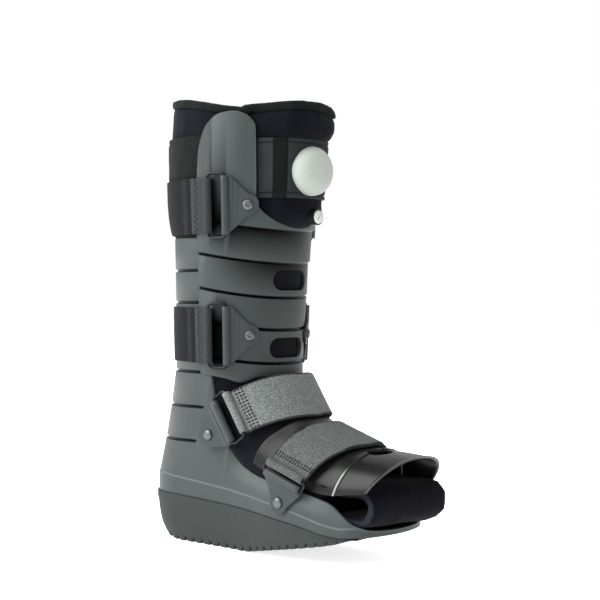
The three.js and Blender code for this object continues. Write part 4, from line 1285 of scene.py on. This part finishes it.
@dataclass
class Toe:
    """Thin arched cover over the toes, with a rib and a round hole."""

    dresser: Dresser
    rib_place: float = 3.32
    edge_turn: float = 88.0
    hole: tuple[float, float, float] = (175.5, -7.0, 24.5)

    def build(self) -> None:
        """Builds and dresses the cover."""
        turns = spread(-self.edge_turn, self.edge_turn, 120)

        def rows(turn: float) -> list[float]:
            start = mix(0.85, 1.35, (abs(turn) / self.edge_turn) ** 2)
            rib = [self.rib_place + step * 0.012 for step in range(-6, 7)]
            return [*spread(start, 3.2, 60), *rib, *spread(3.42, 5.0, 40)]

        def outer(turn: float, place: float) -> Vector:
            rib = 1.4 * notch((place - self.rib_place) * 31, 3.2)
            lip = 0.7 * ramp(place, 4.86, 4.97)
            return instep_point(turn, place, GAP + PANEL_WALL + rib + lip)

        def inner(turn: float, place: float) -> Vector:
            return instep_point(turn, place, GAP)

        # Painted highlight: a light line along the lower sides of the rib and a faint one at the front rim.
        def lit(turn: float, place: float) -> Vector:
            rib = notch((place - self.rib_place) * 31, 2.6) * ramp(abs(turn), 48, 66)
            rim = 0.1 * ramp(place, 4.9, 4.97)
            return Vector((0, max(rib, rim), 0))

        made = Sheet("toe_cover_skin", turns).wall(rows, outer, inner, 0.5, lit)
        along, across, width = self.hole
        outline = [(along + width / 2 * math.cos(a), across + width / 2 * math.sin(a))
                   for a in (math.tau * step / 48 for step in range(48))]
        cut(made, prism("hole", outline, 2, 40, 170))
        sharpen(made, 50)
        self.dresser.dress(made, "cover", self.dresser.wardrobe.cover, "toe_cover")


@dataclass(frozen=True)
class Buckle:
    """Sizes of a ring, the end of its strap and its tab."""

    ring_width: float
    ring_length: float
    strap_width: float
    tab_width: float
    tab_length: float
    tip_radius: float
    shoulder: float

    @property
    def bar(self) -> float:
        """Distance from the ring's middle to the middle of either bar."""
        return self.ring_width / 2 - WIRE / 2


Seat = Callable[[float, float, float], Vector]


@dataclass
class Fastening:
    """A ring, its tab and its rivet on one side of a strap."""

    dresser: Dresser
    name: str
    buckle: Buckle
    seat: Seat

    def __post_init__(self) -> None:
        """Works out the flat frame in which both bars of the ring lie."""
        bar = self.buckle.bar
        height = LOOP_RADIUS + LOOP_LIFT
        first, second = self.seat(bar, 0, height), self.seat(-bar, 0, height)
        across = self.seat(0, 10, height) - self.seat(0, -10, height)
        self.u = (first - second).normalized()
        self.normal = self.u.cross(across).normalized()
        self.v = self.normal.cross(self.u).normalized()
        self.middle = (first + second) / 2
        self.half = (first - second).length / 2
        outward = self.seat(0, 0, 10) - self.seat(0, 0, 0)
        self.out = self.normal if self.normal.dot(outward) > 0 else -self.normal

    def build(self, side: str) -> None:
        """Builds and dresses the ring, the tab and the rivet."""
        kit = self.dresser.wardrobe
        for part, ending, make, slot, finish in (
                ("ring", "wire", self.ring, "ring_wire", kit.wire),
                ("tab", "plate", self.tab, "tab", kit.tab),
                ("rivet", "head", self.rivet, "rivet", kit.rivet)):
            node = f"{self.name}_{part}_{side}"
            self.dresser.dress(make(f"{node}_{ending}"), slot, finish, node)

    def ring(self, name: str) -> bpy.types.Object:
        """Oblong wire ring with round corners."""
        corner = 4.5
        reach = self.buckle.ring_length / 2 - WIRE / 2
        path = []
        for quarter, (a, b) in enumerate(((1, 1), (-1, 1), (-1, -1), (1, -1))):
            for turn in spread(0, 90, 7):
                angle = math.radians(turn + 90 * quarter)
                x = a * (self.half - corner) + corner * math.cos(angle)
                y = b * (reach - corner) + corner * math.sin(angle)
                path.append(self.middle + self.u * x + self.v * y)
        return tube(name, path, WIRE / 2, True, 14)

    def loop(self, name: str, end: int, width: float) -> bpy.types.Object:
        """Rolled loop round one bar of the ring: an open fold with a wall."""
        centre = self.middle + self.u * (end * self.half)
        inner = WIRE / 2 + 0.45
        angles = spread(0, 360, 32)[:-1]

        def ring_point(angle: float, across: float, radius: float) -> Vector:
            turn = math.radians(angle)
            return centre + self.v * across + radius * (self.u * math.cos(turn) + self.out * math.sin(turn))

        def rows(_: float) -> list[float]:
            return spread(-width / 2, width / 2, 10)

        def flat(_: float, across: float) -> Vector:
            return Vector((0, across, 0))

        return Sheet(name, angles, closed=True).wall(
            rows, lambda a, y: ring_point(a, y, LOOP_RADIUS), lambda a, y: ring_point(a, y, inner), 0.3, flat)

    def rivet_point(self, out: float) -> Vector:
        """Point on the axis of the rivet."""
        buckle = self.buckle
        return self.seat(-buckle.bar - buckle.tab_length + buckle.tip_radius, 0, out)

    def tab(self, name: str) -> bpy.types.Object:
        """Plate that narrows to a round tip, with a raised fold and a loop round the ring's bar."""
        buckle = self.buckle
        straight = buckle.tab_length - buckle.tip_radius

        def half_at(x: float) -> float:
            if x < straight:
                share = max(x - buckle.shoulder, 0) / (straight - buckle.shoulder)
                return mix(buckle.tab_width / 2, buckle.tip_radius, share)
            return math.sqrt(max(buckle.tip_radius ** 2 - (x - straight) ** 2, 0.05))

        stations = [*spread(0, straight, 26), *[straight + buckle.tip_radius * math.sin(math.radians(a))
                                                for a in spread(0, 88, 16)[1:]]]

        def outer(x: float, share: float) -> Vector:
            fold = 1.5 * notch(x - 4.6, 6.0) + 0.7 * notch(x - 9.5, 3.0)
            return self.seat(-buckle.bar - x, share * half_at(x), PLATE_LIFT + TAB_WALL + fold)

        def inner(x: float, share: float) -> Vector:
            return self.seat(-buckle.bar - x, share * half_at(x), PLATE_LIFT)

        plate = Sheet(name, stations).wall(lambda _: spread(-1, 1, 20), outer, inner, 0.6)
        made = joined(name, [plate, self.loop(f"{name}_loop", -1, buckle.tab_width)])
        sharpen(made, 55)
        return made

    def rivet(self, name: str) -> bpy.types.Object:
        """Domed rivet with a rim and a dimple."""
        low = self.rivet_point(PLATE_LIFT)
        along = self.rivet_point(5) - low
        base = TAB_WALL + GAP + 0.3
        profile = [(0, 0.5), (2, 0.5), (2, base), (5, base), (5, base + 0.5), (4.7, base + 1.1),
                   (3.9, base + 1.7), (2.9, base + 2.1), (1.9, base + 2.3), (1.3, base + 2.0),
                   (0, base + 1.9)]
        made = turned(name, profile, low, along, 32)
        sharpen(made, 50)
        return made


@dataclass
class Strap:
    """What the straps share: a fastening at each end and the cloth between them."""

    dresser: Dresser
    name: str

    def seat(self, side: int) -> Seat:
        """Seat of one ring, which each kind of strap gives."""
        raise NotImplementedError

    def fasten(self) -> list[Fastening]:
        """Builds the ring, the tab and the rivet at each end."""
        ends = []
        for side in Side:
            end = Fastening(self.dresser, self.name, self.buckle, self.seat(side.value))
            end.build(side.name.lower())
            ends.append(end)
        return ends

    def sew(self, strap: bpy.types.Object, ends: Sequence[Fastening], slot: str, cloth: object,
            reach: float, size: tuple[float, float]) -> None:
        """Joins the loops to the strap and dresses it.

        Args:
            strap: the cloth between the rings.
            ends: the fastenings that the loops go round.
            slot: the record's material slot.
            cloth: the finish that the strap gets.
            reach: flat distance from the strap's middle to its loops, in millimetres.
            size: flat width, and flat length without the loops, in millimetres.
        """
        loops = [end.loop(f"{self.name}_loop", 1, self.buckle.strap_width) for end in ends]
        for loop in loops:
            for uv in loop.data.uv_layers["flat"].data:
                uv.uv[0] = reach
        made = joined(f"{self.name}_strap_cloth", [strap, *loops])
        self.dresser.dress(made, slot, cloth, f"{self.name}_strap")
        width, length = size
        width * METRE
        (length + LOOPS) * METRE


@dataclass
class CalfStrap(Strap):
    """Strap round the back of the leg, from one ring to the other."""

    level: float
    ring_turn: float
    buckle: Buckle = Buckle(21, 64, 52, 55, 31, 10, 4)

    def seat(self, side: int) -> Seat:
        """Seat of one ring: x runs from the ring towards the strap, v up, out away from the shell."""
        turns = spread(0, 180, 360)
        marks = [shell_point(turn, self.level, FRONT_WALL + SEAT_LIFT) for turn in turns]
        arc = [(0.0, 0.0)]
        for step in range(1, len(marks)):
            arc.append((arc[-1][0] + (marks[step] - marks[step - 1]).length, turns[step]))
        start = arc[round(2 * self.ring_turn)][0]

        def place(x: float, v: float, out: float) -> Vector:
            turn = along_table(arc, start + x)
            return shell_point(side * turn, self.level + v, FRONT_WALL + SEAT_LIFT + out)

        return place

    def build(self) -> None:
        """Builds the strap and its two fastenings."""
        ends = self.fasten()
        first = self.seat(1)(self.buckle.bar, 0, 0)
        start = min(spread(40, 120, 400), key=lambda turn: (
            shell_point(turn, self.level, FRONT_WALL + SEAT_LIFT) - first).length)
        turns = spread(start, 360 - start, 170)
        half = self.buckle.strap_width / 2
        wander = 2.0 if self.name == "upper" else 3.0

        def point(turn: float, level: float, out: float) -> Vector:
            away = min(turn, 360 - turn)
            past = ramp(away, 93, 105)
            front = mix(GAP, FRONT_SIDE, ramp(level, SHELL_TOP, SHELL_TOP + SEAT_TAPER)) + FRONT_WALL + SEAT_LIFT
            side = mix(FRONT_SIDE + FRONT_WALL + SEAT_LIFT, REAR_OUT + GAP, past)
            return calf_section(level, False).point(turn, front + out, side + out, side + out)

        def outer(turn: float, level: float) -> Vector:
            spot = Vector((turn / wander / 7, level / 13, self.level))
            away = min(turn, 360 - turn)
            doubled = 1.1 * (1 - ramp(away, start + 12.5, start + 13.5))
            return point(turn, level, STRAP_WALL - 0.5 + doubled + 0.12 * noise.noise(spot))

        rows = spread(self.level - half, self.level + half, 22)
        reach = math.radians(180 - start) * STRAP_ARC

        def flat(turn: float, level: float) -> Vector:
            return Vector((math.radians(turn - 180) * STRAP_ARC, level - self.level, 0))

        strap = Sheet(f"{self.name}_strap_cloth", turns).wall(
            lambda _: rows, outer, lambda turn, level: point(turn, level, 0.0), 0.5, flat)
        cloth = Pile(f"{self.name}_pile", (1, 1, 3), (14, 15, 20), (44, 47, 47), 15.5, reach)
        curve = [point(turn, self.level, STRAP_WALL) for turn in turns]
        length = sum((there - here).length for here, there in zip(curve, curve[1:]))
        self.sew(strap, ends, "loop_pile", cloth, reach, (2 * half, length))


@dataclass
class FootStrap(Strap):
    """Strap that arches over the instep between its two rings."""

    tilt: float
    ahead: float
    level: float
    rise: float
    half: float
    drift: float
    ridge_width: float
    buckle: Buckle
    colour: Colour = (64, 67, 66)
    sewn: tuple[float, ...] = (9.0, 12.0)

    def __post_init__(self) -> None:
        """Works out the strap's frame."""
        tilt = math.radians(self.tilt)
        self.up = Vector((math.cos(tilt), 0, math.sin(tilt)))
        self.along = Vector((math.sin(tilt), 0, -math.cos(tilt)))
        self.ridge = Vector((self.ahead * REACH, 0, self.level * ANKLE))
        self.arch = self.rise * ANKLE
        self.span = self.half * BALL
        self.origin = self.ridge - self.up * self.arch - self.along * self.drift

    def seat(self, side: int) -> Seat:
        """Seat of one ring on the flat side of the shell."""

        def place(x: float, v: float, out: float) -> Vector:
            spot = self.origin + self.up * x + self.along * v
            return Vector((spot.x, side * (self.span + out), spot.z))

        return place

    def build(self) -> None:
        """Builds the strap and its two fastenings."""
        ends = self.fasten()
        limit = math.degrees(math.acos((self.buckle.bar / self.arch) ** (ROUND / 2)))
        turns = spread(-limit, limit, 130)

        def point(turn: float, share: float, out: float) -> Vector:
            side = abs(turn) / 90
            width = mix(self.ridge_width, self.buckle.strap_width, side)
            rise = (self.arch + out) * powered(math.cos(math.radians(turn)), ROUND)
            spot = (self.ridge + self.up * (rise - self.arch)
                    + self.along * (share * width / 2 - self.drift * side))
            return Vector((spot.x, (self.span + out) * powered(math.sin(math.radians(turn)), ROUND), spot.z))

        marks = [point(turn, 0, STRAP_WALL) for turn in turns]
        lengths = [0.0]
        for here, there in zip(marks, marks[1:]):
            lengths.append(lengths[-1] + (there - here).length)
        reach = lengths[-1] / 2
        table = list(zip(turns, [length - reach for length in lengths]))

        def outer(turn: float, share: float) -> Vector:
            spot = Vector((turn / 16, share * 1.5, self.level))
            doubled = 1.0 * (1 - ramp(abs(turn), 26, 27)) if self.name == "fore" else 0.0
            return point(turn, share, STRAP_WALL - 0.3 + doubled + 0.35 * noise.noise(spot))

        def flat(turn: float, share: float) -> Vector:
            return Vector((along_table(table, turn), share * self.ridge_width / 2, 0))

        strap = Sheet(f"{self.name}_strap_cloth", turns).wall(
            lambda _: spread(-1, 1, 20), outer, lambda turn, share: point(turn, share, 0.0), 0.5, flat)
        cloth = Webbing(f"{self.name}_webbing", self.colour, reach, self.ridge_width / 2, self.sewn)
        self.sew(strap, ends, "webbing", cloth, reach, (self.ridge_width, 2 * reach))


@dataclass
class Studio:
    """Pale floor, soft lights and the camera."""

    place: tuple[float, float, float] = (0.8862, -0.9665, 0.253)
    azimuth: float = 40.0
    lens: float = 79.08
    shift: float = -0.025

    def build(self) -> None:
        """Builds the studio."""
        corners = [Vector((x, y, -0.0006)) for x, y in ((-6, -6), (6, -6), (6, 6), (-6, 6))]
        floor = mesh_object("floor", corners, [(0, 1, 2, 3)])
        paper = Paint("floor_paper", specular_ior_level=0.1, emission_strength=0.75)
        floor.data.materials.append(paper.finish(tone(250, 250, 250), 0.9))
        world = bpy.data.worlds.new("studio")
        world.use_nodes = True
        world.node_tree.nodes["Background"].inputs["Color"].default_value = (1, 1, 1, 1)
        world.node_tree.nodes["Background"].inputs["Strength"].default_value = 1.0
        bpy.context.scene.world = world
        self.light("key", (-1.3, -1.7, 1.6), 2.2, 160)
        self.light("top", (0.2, -0.5, 2.6), 2.0, 60)
        data = bpy.data.cameras.new("camera")
        data.lens = self.lens
        data.sensor_width = 36
        data.shift_y = self.shift
        camera = placed("camera", data)
        camera.location = self.place
        camera.rotation_euler = (math.radians(90), 0, math.radians(self.azimuth))
        bpy.context.scene.camera = camera
        bpy.context.scene.view_settings.view_transform = "Standard"

    @staticmethod
    def light(name: str, place: tuple[float, float, float], size: float, power: float) -> None:
        """Adds a soft square light that faces the boot."""
        data = bpy.data.lights.new(name, "AREA")
        data.size = size
        data.energy = power
        lamp = placed(name, data)
        lamp.location = place
        aim = Vector((0.05, 0, 0.2)) - Vector(place)
        lamp.rotation_euler = aim.to_track_quat("-Z", "Y").to_euler()


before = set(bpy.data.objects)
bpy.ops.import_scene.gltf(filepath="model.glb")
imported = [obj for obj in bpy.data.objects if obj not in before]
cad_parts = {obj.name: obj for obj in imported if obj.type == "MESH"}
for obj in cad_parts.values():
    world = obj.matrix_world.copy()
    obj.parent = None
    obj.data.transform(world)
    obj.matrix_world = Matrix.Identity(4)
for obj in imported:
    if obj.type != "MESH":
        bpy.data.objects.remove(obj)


def main() -> None:
    """Builds the boot piece by piece."""
    logging.basicConfig(level=logging.INFO, format="%(name)s %(message)s")
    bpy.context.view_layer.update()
    dresser = Dresser()
    Studio().build()
    Shells(dresser).build()
    Padding(dresser).build()
    Pump(dresser).build()
    Toe(dresser).build()
    for name, level, ring_turn in CALF_STRAPS:
        CalfStrap(dresser, name, level, ring_turn).build()
    FootStrap(dresser, "ankle", 33.5, 0.426, 0.840, 0.2875, 0.4735, 10, 46,
              Buckle(21, 52, 42, 43, 38, 13, 8), (84, 88, 87), (8.0, 11.5, 15.0)).build()
    FootStrap(dresser, "fore", 71, 0.682, 0.642, 0.2260, 0.5045, 14, 53,
              Buckle(13, 52, 43, 43, 32, 10, 5)).build()


if __name__ == "__main__":
    main()
